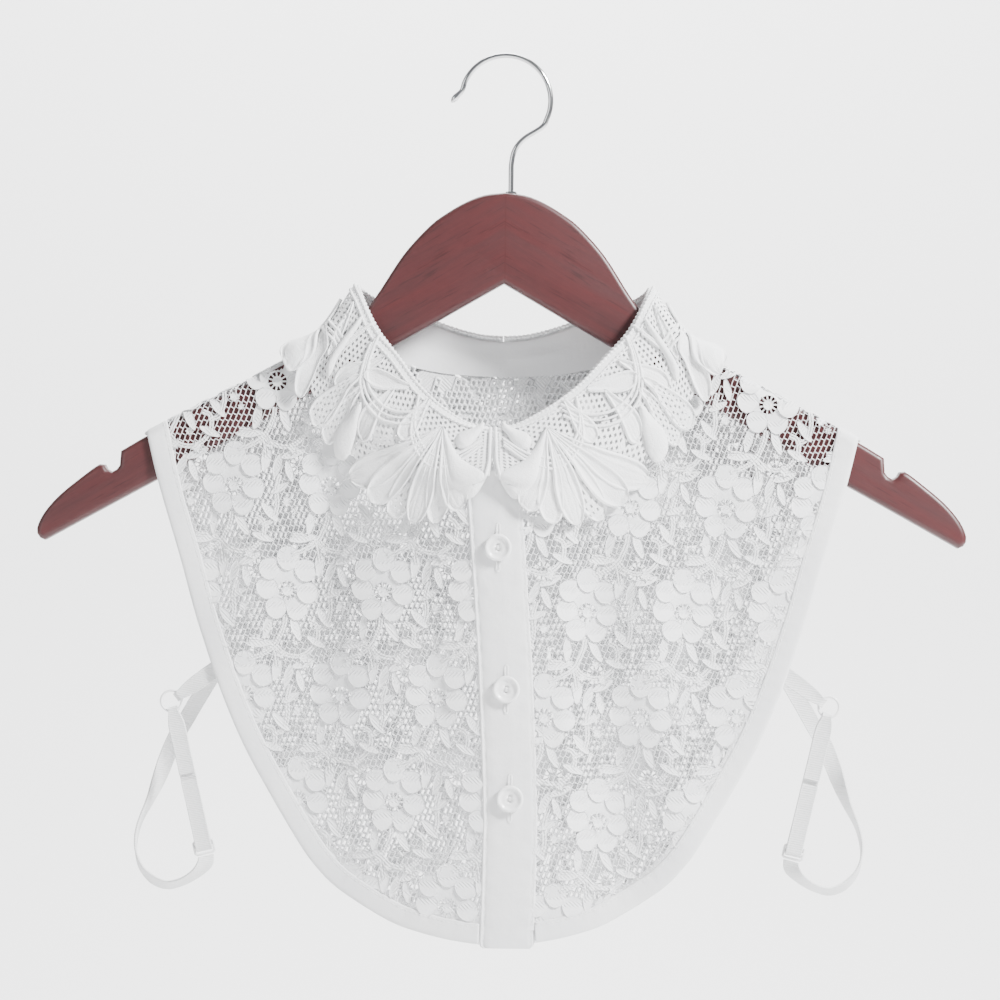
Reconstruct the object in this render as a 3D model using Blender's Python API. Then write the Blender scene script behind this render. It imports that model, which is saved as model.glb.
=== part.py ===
"""Lace dickey collar hanging on a wooden clothes hanger.

Frame: the origin is the inner crown of the hook, where the hanger hangs.  X runs to the right along the
hanger, Y to the back, Z up.  Sizes and places below are in millimetres and become metres at the last step.
"""

import math

import bmesh
import bpy
import numpy as np
from mathutils import Matrix, Vector

MM = 0.001

# Walls and gaps
GAP = 0.3
LACE_WALL = 1.2
COTTON_WALL = 1.6
STAND_WALL = 1.2
GUIPURE_WALL = 1.9
ELASTIC_WALL = 1.0

# Hanger
HANGER_THICKNESS = 12.0
HANGER_EDGE_ROUND = 2.2
WIRE_RADIUS = 1.3
HOOK_RADIUS = 21.6
SHANK_X = 2.9
SHANK_DEPTH = 20.0
SHANK_TOP_Z = -64.9

# Upper edge of the wood, from the middle out to the notch
HANGER_TOP = (
    # x, z
    (0.0, -64.9),
    (10.0, -66.2),
    (19.2, -69.9),
    (28.0, -75.2),
    (35.8, -81.2),
    (48.0, -94.7),
    (60.0, -113.2),
    (67.4, -123.3),
    (74.0, -129.8),
    (80.0, -134.9),
    (88.0, -139.3),
    (96.0, -143.2),
    (112.0, -152.0),
    (128.0, -160.6),
    (152.0, -172.9),
    (172.0, -184.0),
    (183.0, -190.6),
)
# The strap notch, the round end and the straight lower edge
HANGER_END = (
    # x, z
    (183.5, -197.5),
    (186.3, -200.6),
    (189.6, -199.4),
    (192.4, -196.7),
    (203.0, -204.3),
    (212.6, -212.4),
    (219.5, -220.5),
    (222.8, -227.5),
    (222.2, -231.8),
    (219.0, -233.6),
    (166.0, -204.4),
)
HANGER_VEE_Z = -108.6

# Cloth over the wood: it runs level over the top, bends round the front edge and hangs
CLOTH_LIFT = 1.5
LEVEL_RUN = 4.0
BEND_RADIUS = 3.2
NECK_SIDE_X = 79.0
# Inside this the cloth no longer follows the rise of the wood
LEVEL_INSIDE_X = 76.0
SHOULDER_TIP_X = 172.0

# Outline of the front and of the back, seen from the front, below the shoulder
OUTLINE = (
    # x, z
    (170.8, -180.4),
    (164.6, -205.0),
    (153.9, -239.8),
    (147.0, -264.6),
    (142.6, -278.5),
    (133.7, -304.2),
    (122.7, -329.9),
    (109.1, -354.6),
    (96.0, -376.3),
    (88.6, -386.7),
    (79.7, -396.1),
    (68.7, -403.9),
    (55.4, -411.8),
    (45.5, -416.3),
    (28.7, -420.9),
    (11.9, -423.6),
    (0.0, -424.0),
)
BINDING_WIDTH = 10.0
# Distance along the outline from the shoulder seam to where the side turns into the hem
HEM_START = 215.0

# Middle line of the placket, which hangs a little askew
PLACKET_LINE = (
    # z, x
    (-198.0, -4.6),
    (-247.0, -0.8),
    (-291.2, 2.3),
    (-335.4, 4.4),
    (-364.7, 5.4),
    (-394.0, 4.9),
    (-428.0, 4.0),
)
PLACKET_WIDTH = 25.8
PLACKET_BOTTOM_Z = -425.6
BUTTON_STAND_WIDTH = 22.0
BUTTON_STAND_WALL = 1.0
BUTTON_RADIUS = 6.5
BUTTON_HEIGHTS = (-234.8, -302.0, -354.0)

# Depth of the two panels, measured from the middle plane of the hanger
PANEL_FACE = BEND_RADIUS + LEVEL_RUN + 0.15
FRONT_DROP_DEPTH = 4.0
FRONT_NECK_REACH = 17.2
FRONT_HEM_REACH = 8.6
FRONT_REACH_WIDTH = 58.0
BACK_DROP_DEPTH = 3.0
BACK_NECK_REACH = 15.0
BACK_HEM_REACH = 4.0
BACK_REACH_WIDTH = 60.0

# Largest soft folds: out is how far the cloth stands away from the wearer's side
FRONT_FOLDS = (
    # x_top, z_top, x_bottom, z_bottom, half_width, out
    (42.0, -235.0, 60.0, -412.0, 12.0, -3.2),
    (66.0, -225.0, 90.0, -395.0, 15.0, 3.6),
    (-80.0, -185.0, -92.0, -330.0, 11.0, -2.6),
    (-60.0, -235.0, -58.0, -410.0, 17.0, 2.6),
    (-118.0, -195.0, -126.0, -300.0, 14.0, 2.2),
)
BACK_FOLDS = (
    # x_top, z_top, x_bottom, z_bottom, half_width, out
    (-46.0, -205.0, -62.0, -405.0, 16.0, 3.2),
    (36.0, -215.0, 52.0, -410.0, 14.0, -2.4),
    (92.0, -190.0, 98.0, -350.0, 13.0, 2.6),
)

# The neck, from centre front round the right shoulder to centre back.  Each row is one section of the
# collar: where the stand is sewn on, where the collar folds over and where its scalloped edge lies.
# "down" is measured down the cloth from the shoulder seam, positive in front and negative behind.
COLLAR = (
    # base_x, base_down, fold_x, fold_y, fold_z, edge_x, edge_down
    (0.5, 74.0, 0.5, -24.5, -180.8, 4.0, 78.4),
    (14.0, 72.6, 12.0, -24.0, -178.5, 13.5, 90.4),
    (28.0, 65.9, 25.5, -22.2, -171.0, 31.0, 98.4),
    (45.0, 53.4, 38.5, -19.2, -160.0, 51.0, 93.9),
    (60.0, 38.4, 49.5, -16.0, -147.0, 69.5, 76.4),
    (72.0, 21.4, 60.5, -12.6, -134.0, 86.0, 50.0),
    (77.5, 10.7, 67.5, -8.2, -121.0, 97.0, 25.0),
    (79.0, 0.0, 70.5, 0.0, -112.5, 105.0, 0.0),
    (77.5, -10.7, 68.5, 8.2, -114.5, 97.0, -25.0),
    (72.0, -17.4, 62.0, 13.0, -118.0, 86.0, -42.0),
    (56.0, -22.4, 48.0, 17.0, -122.6, 66.0, -53.9),
    (32.0, -27.4, 27.5, 19.6, -130.4, 36.0, -59.4),
    (14.0, -28.8, 12.0, 20.4, -134.6, 15.0, -61.0),
    (0.3, -29.2, 0.3, 20.6, -135.6, 0.3, -61.4),
)
NECK_SKEW = -4.6
# Columns of a panel: lengths down from the shoulder seam where the cloth bends over the wood, then even
BEND_STATIONS = (0.0, 3.0, 5.5, 8.0, 11.0, 16.0)
EVEN_COLUMNS = 18
# Rows of a panel, from the neck out to the side and the hem
PANEL_ROWS = 10
FALL_COLUMNS = 50
# Rows of the turn-down collar, close together where it rolls over the stand
FALL_ROWS = (0.0, 0.035, 0.075, 0.14, 0.25, 0.38, 0.51, 0.64, 0.77, 0.89, 1.0)
SCALLOPS = 19
SCALLOP_DEPTH = 3.6
PETAL_RELIEF = 0.9
# The stiff guipure doesn't follow the cloth's tight bend over the wood, but stands off it
SHOULDER_STIFFNESS = 1.8

# Openwork of the guipure wider than 4 mm: place along the collar (0 at centre front, 1 at centre back),
# place across it (0 at the fold, 1 at the edge), and the size along and across
WINDOWS = (
    # along, across, long, wide
    (0.335, 0.28, 8.6, 9.4),
    (0.300, 0.46, 9.2, 5.2),
    (0.255, 0.38, 5.4, 4.8),
    (0.205, 0.36, 12.5, 5.4),
    (0.285, 0.62, 9.6, 7.6),
    (0.470, 0.42, 8.6, 12.0),
    (0.640, 0.42, 8.6, 11.0),
    (0.760, 0.36, 9.0, 8.4),
    (0.800, 0.60, 8.6, 5.4),
    (0.900, 0.40, 9.4, 8.0),
)

# Side straps of 8 mm elastic, given for the right side
STRAP_WIDTH = 7.8
STRAP_WIDTH_IN_RING = 4.4
RING_CENTRE = (157.4, -7.0, -310.1)
RING_RADIUS = 4.95
RING_WIRE = 0.55
TURN_RADIUS = 1.95
TAB_DIRECTION = math.radians(143.8)
DOUBLE_DIRECTION = math.radians(-102.7)
SLIDER_CENTRE = (141.3, -5.0, -380.0)
SLIDER_WIDTH = 10.6
SLIDER_HEIGHT = 7.6
SLIDER_BAR = 1.2
LOOP_ROUTE = (
    # x, y, z, turn of the band in degrees: 0 edge on, 90 face on
    (140.6, -4.7, -387.6, 66.0),
    (144.0, -3.8, -392.0, 40.0),
    (149.6, -2.2, -396.0, 30.0),
    (155.0, -0.6, -398.2, 30.0),
    (160.2, 0.8, -398.9, 34.0),
    (166.5, 2.2, -396.5, 34.0),
    (172.0, 3.4, -391.0, 20.0),
    (174.7, 4.4, -383.6, 6.0),
    (174.7, 5.2, -375.9, -4.0),
    (172.6, 5.9, -368.0, -10.0),
    (168.0, 6.8, -358.0, -26.0),
    (163.9, 7.8, -347.4, -55.0),
    (160.6, 8.4, -338.2, -78.0),
    (156.8, 8.9, -328.9, -88.0),
    (151.9, 9.2, -320.5, -90.0),
    (146.6, 9.2, -311.2, -90.0),
)
LOOP_END = (138.8, -298.0)


def smooth(value):
    """0 below 0, 1 above 1, and a smooth rise between."""
    t = min(max(value, 0.0), 1.0)
    return t * t * (3.0 - 2.0 * t)


def curve_through(points, count):
    """A smooth curve through the points, as evenly spaced points."""
    knots = np.array(points, dtype=float)
    padded = np.vstack([2 * knots[0] - knots[1], knots, 2 * knots[-1] - knots[-2]])
    fine = []
    for i in range(1, len(padded) - 2):
        a, b, c, d = padded[i - 1 : i + 3]
        for t in np.linspace(0.0, 1.0, 12, endpoint=False):
            bend = (2 * a - 5 * b + 4 * c - d) * t * t + (3 * b - a - 3 * c + d) * t**3
            fine.append(0.5 * (2 * b + (c - a) * t + bend))
    fine.append(knots[-1])
    fine = np.array(fine)
    run = np.concatenate([[0.0], np.cumsum(np.linalg.norm(np.diff(fine, axis=0), axis=1))])
    stations = np.linspace(0.0, run[-1], count)
    columns = [np.interp(stations, run, fine[:, k]) for k in range(fine.shape[1])]
    return np.stack(columns, axis=1)


def at(table, place):
    """The row of an evenly spaced table at a place from 0 to 1."""
    f = min(max(place, 0.0), 1.0) * (len(table) - 1)
    i = min(int(f), len(table) - 2)
    return table[i] + (table[i + 1] - table[i]) * (f - i)


TOP_CURVE = curve_through(HANGER_TOP, 90)
PLACKET_CURVE = np.array(PLACKET_LINE)[::-1]
BEND_ARC = BEND_RADIUS * math.pi / 2
SEAM_RISE = LEVEL_RUN + BEND_ARC - BEND_RADIUS


def cloth_top(x):
    """Height of the cloth where it runs over the wood."""
    reach = min(max(abs(x), LEVEL_INSIDE_X), SHOULDER_TIP_X + 2.0)
    return float(np.interp(reach, TOP_CURVE[:, 0], TOP_CURVE[:, 1])) + CLOTH_LIFT


def seam_height(x):
    """Height the shoulder seam would have if the cloth were laid flat in the hanging plane."""
    return cloth_top(x) + SEAM_RISE


def placket_x(z):
    return float(np.interp(z, PLACKET_CURVE[:, 0], PLACKET_CURVE[:, 1]))


def fold_relief(folds, x, z):
    """How far the soft folds push the cloth outwards."""
    out = 0.0
    for x_top, z_top, x_bottom, z_bottom, half_width, height in folds:
        t = (z - z_top) / (z_bottom - z_top)
        if -0.25 < t < 1.1:
            middle = x_top + (x_bottom - x_top) * t
            fade = smooth((t + 0.25) / 0.5) * smooth((1.1 - t) / 0.35)
            out += height * fade * math.exp(-(((x - middle) / half_width) ** 2))
    return out


def front_depth(x, z, down):
    share = (z + 424.0) / 226.0
    reach = FRONT_HEM_REACH + (FRONT_NECK_REACH - FRONT_HEM_REACH) * min(max(share, 0.0), 1.1)
    bulge = reach * math.exp(-(((x - placket_x(z)) / FRONT_REACH_WIDTH) ** 2))
    bulge *= smooth((down - 9.0) / 28.0)
    hang = FRONT_DROP_DEPTH * smooth((down - 9.0) / 60.0)
    return PANEL_FACE + hang + bulge + fold_relief(FRONT_FOLDS, x, z)


def back_depth(x, z, down):
    share = (z + 424.0) / 270.0
    reach = BACK_HEM_REACH + (BACK_NECK_REACH - BACK_HEM_REACH) * min(max(share, 0.0), 1.0)
    bulge = reach * math.exp(-((x / BACK_REACH_WIDTH) ** 2))
    bulge *= smooth((down - 9.0) / 18.0)
    hang = BACK_DROP_DEPTH * smooth((down - 9.0) / 60.0)
    return PANEL_FACE + hang + bulge + fold_relief(BACK_FOLDS, x, z)


def cloth_point(x, down):
    """A point of the cloth's middle surface; down is positive in front, negative behind."""
    front = down >= 0
    run = abs(down)
    top = cloth_top(x)
    if run < LEVEL_RUN:
        y, z = 0.15 + run, top
    elif run < LEVEL_RUN + BEND_ARC:
        turn = (run - LEVEL_RUN) / BEND_RADIUS
        y = 0.15 + LEVEL_RUN + BEND_RADIUS * math.sin(turn)
        z = top - BEND_RADIUS * (1.0 - math.cos(turn))
    else:
        z = top + SEAM_RISE - run
        y = front_depth(x, z, run) if front else back_depth(x, z, run)
    return Vector((x, -y if front else y, z))


def cloth_normal(x, down):
    """The direction out of the cloth, away from the wearer and the wood."""
    way = 1 if down >= 0 else -1
    run = max(abs(down), 0.7)
    along = cloth_point(x + 0.6, way * run) - cloth_point(x - 0.6, way * run)
    fall = cloth_point(x, way * (run + 0.6)) - cloth_point(x, way * (run - 0.6))
    out = along.cross(fall).normalized()
    return out if out.dot(Vector((0.0, -way, 1.0))) > 0 else -out


def lifted(x, down, lift):
    """A point moved out from the cloth by lift."""
    return cloth_point(x, down) + cloth_normal(x, down) * lift


def flat_spot(x, z, front):
    """Point and normal of the cloth at x and z of the cloth laid flat in the hanging plane."""
    down = max(seam_height(x) - z, 0.0)
    down = down if front else -max(down, 1e-6)
    return cloth_point(x, down), cloth_normal(x, down)


def flat_point(x, z, front):
    return flat_spot(x, z, front)[0]


def new_material(name, colour, roughness, metallic=0.0):
    material = bpy.data.materials.new(name)
    material.use_nodes = True
    shader = material.node_tree.nodes["Principled BSDF"]
    shader.inputs["Base Color"].default_value = (*colour, 1.0)
    shader.inputs["Roughness"].default_value = roughness
    shader.inputs["Metallic"].default_value = metallic
    material.diffuse_color = (*colour, 1.0)
    return material


WHITE_COTTON = ((0.93, 0.93, 0.92), 0.8)
WHITE_LACE = ((0.95, 0.95, 0.94), 0.75)
WHITE_ELASTIC = ((0.92, 0.92, 0.92), 0.6)
WHITE_COATING = ((0.93, 0.93, 0.93), 0.35)


def add_object(name, bm, finish):
    """Puts a finished mesh into the scene as one named sub-part."""
    bmesh.ops.recalc_face_normals(bm, faces=bm.faces[:])
    bmesh.ops.scale(bm, vec=(MM, MM, MM), verts=bm.verts[:])
    mesh = bpy.data.meshes.new(name)
    bm.to_mesh(mesh)
    bm.free()
    mesh.shade_smooth()
    mesh.set_sharp_from_angle(angle=math.radians(40))
    obj = bpy.data.objects.new(name, mesh)
    obj.data.materials.append(new_material(name, *finish))
    bpy.context.scene.collection.objects.link(obj)
    return obj


def thicken(bm, wall, normals=None, relief=None):
    """Gives a sheet a wall, half to each side; relief adds to the outer side alone."""
    bm.normal_update()
    sheet = list(bm.verts)
    ways = [normals[v] if normals else v.normal.copy() for v in sheet]
    rim = [edge for edge in bm.edges if edge.is_boundary]
    copy = bmesh.ops.duplicate(bm, geom=sheet + list(bm.edges) + list(bm.faces))
    inner = {v: copy["vert_map"][v] for v in sheet}
    bmesh.ops.reverse_faces(bm, faces=[g for g in copy["geom"] if isinstance(g, bmesh.types.BMFace)])
    for edge in rim:
        loop = edge.link_loops[0]
        start, end = loop.vert, loop.link_loop_next.vert
        bm.faces.new((end, start, inner[start], inner[end]))
    for v, way in zip(sheet, ways):
        raised = relief[v] if relief else 0.0
        inner[v].co -= way * (wall / 2)
        v.co += way * (wall / 2 + raised)


def add_wall(name, columns, rows, place, wall, finish):
    """A sheet of cloth with a wall; place(column, row) gives a point, or a point and a normal."""
    bm = bmesh.new()
    bmesh.ops.create_grid(bm, x_segments=columns, y_segments=rows, size=0.5)
    normals = {}
    for v in bm.verts:
        spot = place(round((v.co.x + 0.5) * columns), round((v.co.y + 0.5) * rows))
        if isinstance(spot, tuple):
            v.co, normals[v] = spot
        else:
            v.co = spot
    thicken(bm, wall, normals or None)
    return add_object(name, bm, finish)


def add_grid_wall(name, grid, wall, finish):
    add_wall(name, len(grid) - 1, len(grid[0]) - 1, lambda column, row: grid[column][row], wall, finish)


# The wooden hanger and its hook


def add_hanger_body():
    half = [tuple(p) for p in curve_through(HANGER_TOP, 32)] + list(HANGER_END)
    outline = half + [(0.0, HANGER_VEE_Z)] + [(-x, z) for x, z in reversed(half[1:])]
    bm = bmesh.new()
    verts = [bm.verts.new((x, -HANGER_THICKNESS / 2, z)) for x, z in outline]
    face = bm.faces.new(verts)
    swept = bmesh.ops.extrude_face_region(bm, geom=[face])
    moved = [g for g in swept["geom"] if isinstance(g, bmesh.types.BMVert)]
    bmesh.ops.translate(bm, vec=(0, HANGER_THICKNESS, 0), verts=moved)
    rims = [e for e in bm.edges if abs(e.verts[0].co.y - e.verts[1].co.y) < 1e-6]
    bmesh.ops.bevel(
        bm, geom=rims, offset=HANGER_EDGE_ROUND, segments=2, profile=0.5, affect="EDGES",
        material=-1, clamp_overlap=True,
    )
    body = add_object("hanger_body", bm, ((0.16, 0.025, 0.02), 0.35))

    bore = bmesh.new()
    radius = WIRE_RADIUS + GAP
    length = SHANK_DEPTH + 12.0
    bmesh.ops.create_cone(
        bore, cap_ends=True, segments=16, radius1=radius, radius2=radius, depth=length,
        matrix=Matrix.Translation((SHANK_X, 0.0, SHANK_TOP_Z - SHANK_DEPTH - GAP + length / 2)),
    )
    cutter = add_object("shank_bore_cutter", bore, ((0.5, 0.5, 0.5), 0.5))
    cutter.hide_render = True
    cutter.display_type = "WIRE"
    cut = body.modifiers.new("shank_bore", "BOOLEAN")
    cut.operation = "DIFFERENCE"
    cut.object = cutter


def add_hanger_hook():
    centre_z = WIRE_RADIUS - HOOK_RADIUS
    angles = [math.radians(a) for a in range(168, -40, -12)]
    loop = [(HOOK_RADIUS * math.cos(a), centre_z + HOOK_RADIUS * math.sin(a)) for a in angles]
    shank = [(9.2, -38.4), (4.8, -43.6), (3.1, -50.0), (SHANK_X, -58.0), (SHANK_X, SHANK_TOP_Z - SHANK_DEPTH)]
    route = curve_through([(-26.1, -21.6), (-23.8, -18.6)] + loop + shank, 38)
    curve = bpy.data.curves.new("hanger_hook", "CURVE")
    curve.dimensions = "3D"
    curve.bevel_depth = WIRE_RADIUS * MM
    curve.bevel_resolution = 2
    curve.use_fill_caps = True
    spline = curve.splines.new("POLY")
    spline.points.add(len(route) - 1)
    for point, (x, z) in zip(spline.points, route):
        point.co = (x * MM, 0.0, z * MM, 1.0)
    for point, swell in zip(spline.points, (0.95, 1.4, 1.0)):
        point.radius = swell
    hook = bpy.data.objects.new("hanger_hook", curve)
    curve.materials.append(new_material("hanger_hook", (0.75, 0.75, 0.76), 0.15, 1.0))
    bpy.context.scene.collection.objects.link(hook)


# The outline of the panels and the binding on it

OUTLINE_CURVE = curve_through(
    [(SHOULDER_TIP_X, seam_height(SHOULDER_TIP_X))] + list(OUTLINE), 240
)
OUTLINE_RUN = np.concatenate(
    [[0.0], np.cumsum(np.linalg.norm(np.diff(OUTLINE_CURVE, axis=0), axis=1))]
)
OUTLINE_LENGTH = float(OUTLINE_RUN[-1])


def outline_point(run, inset):
    """A point of the outline at a run from the shoulder seam, moved in by inset."""
    before = at(OUTLINE_CURVE, (run - 3.0) / OUTLINE_LENGTH)
    after = at(OUTLINE_CURVE, (run + 3.0) / OUTLINE_LENGTH)
    here = at(OUTLINE_CURVE, run / OUTLINE_LENGTH)
    way = (after - before) / np.linalg.norm(after - before)
    inward = np.array([way[1], -way[0]])
    if run > OUTLINE_LENGTH - 3.0:
        inward = np.array([0.0, 1.0])
    level = max(0.0, 1.0 - run / 40.0)
    inward = inward * (1.0 - level) + np.array([-1.0, 0.0]) * level
    moved = here + inward / np.linalg.norm(inward) * inset
    moved[1] += (seam_height(moved[0]) - seam_height(here[0])) * level
    return moved


def stations(length):
    """Places along a run: close together over the wood, then even."""
    even = np.linspace(BEND_STATIONS[-1], length, EVEN_COLUMNS + 1)[1:]
    return list(BEND_STATIONS) + list(even)


def run_to_placket(side, inset):
    """The run where the inset outline meets the placket's edge on that side."""
    for run in np.linspace(OUTLINE_LENGTH, HEM_START, 600):
        x, z = outline_point(run, inset)
        if side * x * side >= abs(placket_x(z) + side * (PLACKET_WIDTH / 2 + GAP)):
            return float(run)
    return OUTLINE_LENGTH


# The lace panels: each is a patch between its four cut edges


def neck_skew(down):
    """The front of the neck hangs a little to the left."""
    return NECK_SKEW * max(0.0, down / COLLAR[0][1]) ** 2


COLLAR_CURVE = curve_through(COLLAR, 161)


def collar_row(along, side):
    """One section of the collar: base and edge on the cloth (x, down), and the fold in space."""
    base_x, base_down, fold_x, fold_y, fold_z, edge_x, edge_down = at(COLLAR_CURVE, along)
    skew = neck_skew(base_down)
    base = (side * base_x + skew, base_down)
    fold = Vector((side * fold_x + skew, fold_y, fold_z))
    edge = (side * edge_x + skew, edge_down)
    return base, fold, edge


def base_runs():
    """Length round the foot of the stand at each row of the collar curve."""
    points = [cloth_point(row[0], row[1]) for row in COLLAR_CURVE]
    steps = [0.0] + [(b - a).length for a, b in zip(points, points[1:])]
    return np.cumsum(steps)


BASE_RUN = base_runs()
SIDE_RUN = float(np.interp(0.0, -COLLAR_CURVE[:, 1], BASE_RUN))


def neck_places(front):
    """Places along the collar from the shoulder to the middle."""
    length = SIDE_RUN if front else BASE_RUN[-1] - SIDE_RUN
    way = -1 if front else 1
    places = np.linspace(0.0, 1.0, len(BASE_RUN))
    return [float(np.interp(SIDE_RUN + way * run, BASE_RUN, places)) for run in stations(length)]


def neck_flat(side, along):
    """The neck edge of a panel in the hanging plane."""
    (x, down), _, _ = collar_row(along, side)
    return np.array([x, seam_height(x) - abs(down)])


def patch(top, bottom, outer, inner):
    """A Coons patch between four edges, each a function of a place from 0 to 1."""
    corners = top(0.0), top(1.0), bottom(0.0), bottom(1.0)

    def point(u, v):
        across = (1 - v) * top(u) + v * bottom(u)
        down = (1 - u) * outer(v) + u * inner(v)
        blend = (1 - v) * ((1 - u) * corners[0] + u * corners[1])
        blend = blend + v * ((1 - u) * corners[2] + u * corners[3])
        return across + down - blend

    return point


def panel_edges(side, front):
    """The patch of a panel, and the runs of the outline where its columns end."""
    inset = BINDING_WIDTH + GAP
    tip_x = outline_point(0.0, inset)[0]
    neck = [neck_flat(side, along) for along in neck_places(front)]
    if front:
        line_x = placket_x(neck[-1][1]) + side * (PLACKET_WIDTH / 2 + GAP)
        stop = next(k for k, point in enumerate(neck) if side * (point[0] - line_x) < 2.0)
        neck = neck[:stop] + [np.array([line_x, neck[stop][1]])]
        hem_end = run_to_placket(side, inset)
    else:
        neck[-1][0] = 0.0
        hem_end = OUTLINE_LENGTH
    count = len(neck) - 1
    even = np.linspace(BEND_STATIONS[-1], hem_end, count - len(BEND_STATIONS) + 2)[1:]
    runs = list(BEND_STATIONS) + list(even)
    foot = [outline_point(run, inset) * (side, 1.0) for run in runs]
    if front:
        foot[-1][0] = placket_x(foot[-1][1]) + side * (PLACKET_WIDTH / 2 + GAP)
    necks, feet = np.array(neck), np.array(foot)

    def outer(v):
        x = side * (NECK_SIDE_X + (tip_x - NECK_SIDE_X) * v)
        return np.array([x, seam_height(x)])

    def inner(v):
        z = necks[-1][1] + (feet[-1][1] - necks[-1][1]) * v
        if not front:
            return np.array([0.0, z])
        return np.array([placket_x(z) + side * (PLACKET_WIDTH / 2 + GAP), z])

    return patch(lambda u: at(necks, u), lambda u: at(feet, u), outer, inner), runs


def panel_grid(side, front):
    """Columns and rows of a panel's points, from the shoulder to the middle and from neck to edge."""
    flat, runs = panel_edges(side, front)
    columns = np.linspace(0.0, 1.0, len(runs))
    rows = np.linspace(0.0, 1.0, PANEL_ROWS + 1)
    return [[flat_spot(*flat(u, v), front) for v in rows] for u in columns]


def add_back_panel():
    left = panel_grid(-1, False)
    right = panel_grid(1, False)
    add_grid_wall("back_panel", left + right[-2::-1], LACE_WALL, WHITE_LACE)


def add_front_binding(name, side):
    """Sewn along the panel's side and hem, so it has the panel's own columns."""
    _, runs = panel_edges(side, True)

    def place(column, row):
        x, z = outline_point(runs[row], column * BINDING_WIDTH)
        x *= side
        if row == len(runs) - 1:
            x = placket_x(z) + side * (PLACKET_WIDTH / 2 + GAP)
        return flat_spot(x, z, True)

    add_wall(name, 1, len(runs) - 1, place, COTTON_WALL, WHITE_COTTON)


def add_back_binding():
    _, half = panel_edges(1, False)
    places = [(-1.0, run) for run in half] + [(1.0, run) for run in half[-2::-1]]

    def place(column, row):
        side, run = places[row]
        x, z = outline_point(run, column * BINDING_WIDTH)
        return flat_spot(side * x, z, False)

    add_wall("binding_back", 1, len(places) - 1, place, COTTON_WALL, WHITE_COTTON)


# The placket, the strip under it and the buttons


PLACKET_COLUMNS = 2
PLACKET_ROWS = 14


def add_placket_strip(name, width, behind, wall):
    """A straight strip down the centre front, from the neck to just past the hem."""
    top_z = seam_height(0.0) - COLLAR[0][1]

    def place(column, row):
        z = top_z + (PLACKET_BOTTOM_Z - top_z) * row / PLACKET_ROWS
        x = placket_x(z) + (column / PLACKET_COLUMNS - 0.5) * width
        point, normal = flat_spot(x, z, True)
        return point - normal * behind, normal

    add_wall(name, PLACKET_COLUMNS, PLACKET_ROWS, place, wall, WHITE_COTTON)


def add_buttons():
    profile = (
        # radius, height
        (1.0, 1.1),
        (4.2, 1.2),
        (4.9, 2.2),
        (5.8, 2.3),
        (6.5, 1.6),
        (6.5, 0.8),
        (5.6, 0.0),
        (1.0, 0.0),
    )
    for number, z in enumerate(BUTTON_HEIGHTS, start=1):
        bm = bmesh.new()
        ring = [bm.verts.new((radius, 0.0, height)) for radius, height in profile]
        edges = [bm.edges.new(pair) for pair in zip(ring, ring[1:])]
        bmesh.ops.spin(
            bm, geom=ring + edges, cent=(0, 0, 0), axis=(0, 0, 1), angle=math.tau, steps=16, use_merge=True,
        )
        bmesh.ops.remove_doubles(bm, verts=bm.verts[:], dist=1e-4)
        bmesh.ops.holes_fill(bm, edges=[e for e in bm.edges if e.is_boundary], sides=0)
        x = placket_x(z)
        middle = flat_point(x, z, True)
        along = flat_point(x + 4, z, True) - flat_point(x - 4, z, True)
        fall = flat_point(x, z - 4, True) - flat_point(x, z + 4, True)
        out = along.cross(fall).normalized()
        out = out if out.y < 0 else -out
        turn = Vector((0, 0, 1)).rotation_difference(out).to_matrix().to_4x4()
        seat = middle + out * (COTTON_WALL / 2 + GAP + 0.15)
        bmesh.ops.transform(bm, matrix=Matrix.Translation(seat) @ turn, verts=bm.verts[:])
        add_object(f"button_{number}", bm, ((0.95, 0.95, 0.94), 0.3))


# The stand and the guipure collar that turns down over it


def stand_line(along, side):
    """Foot and top of the stand at one section, a little clear of the panel's neck edge."""
    base, fold, _ = collar_row(along, side)
    foot = cloth_point(*base)
    rise = (fold - foot).normalized()
    return foot + rise * 1.0, fold, rise


def add_collar_stand():
    """One strip from centre front round the left side, the back and the right side."""
    half = neck_places(True)[::-1] + neck_places(False)[1:]
    grid = []
    for side, places in ((-1, half), (1, half[-2::-1])):
        for along in places:
            foot, fold, _ = stand_line(along, side)
            grid.append([foot + (fold - foot) * v for v in (0.0, 1.0)])
    add_grid_wall("collar_stand", grid, STAND_WALL, WHITE_COTTON)


def edge_run_table(side):
    """How far along the scalloped edge each place of the collar is, from 0 to 1."""
    points = [cloth_point(*collar_row(k / 160, side)[2]) for k in range(161)]
    steps = [0.0] + [(b - a).length for a, b in zip(points, points[1:])]
    run = np.cumsum(steps)
    return run / run[-1]


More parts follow.
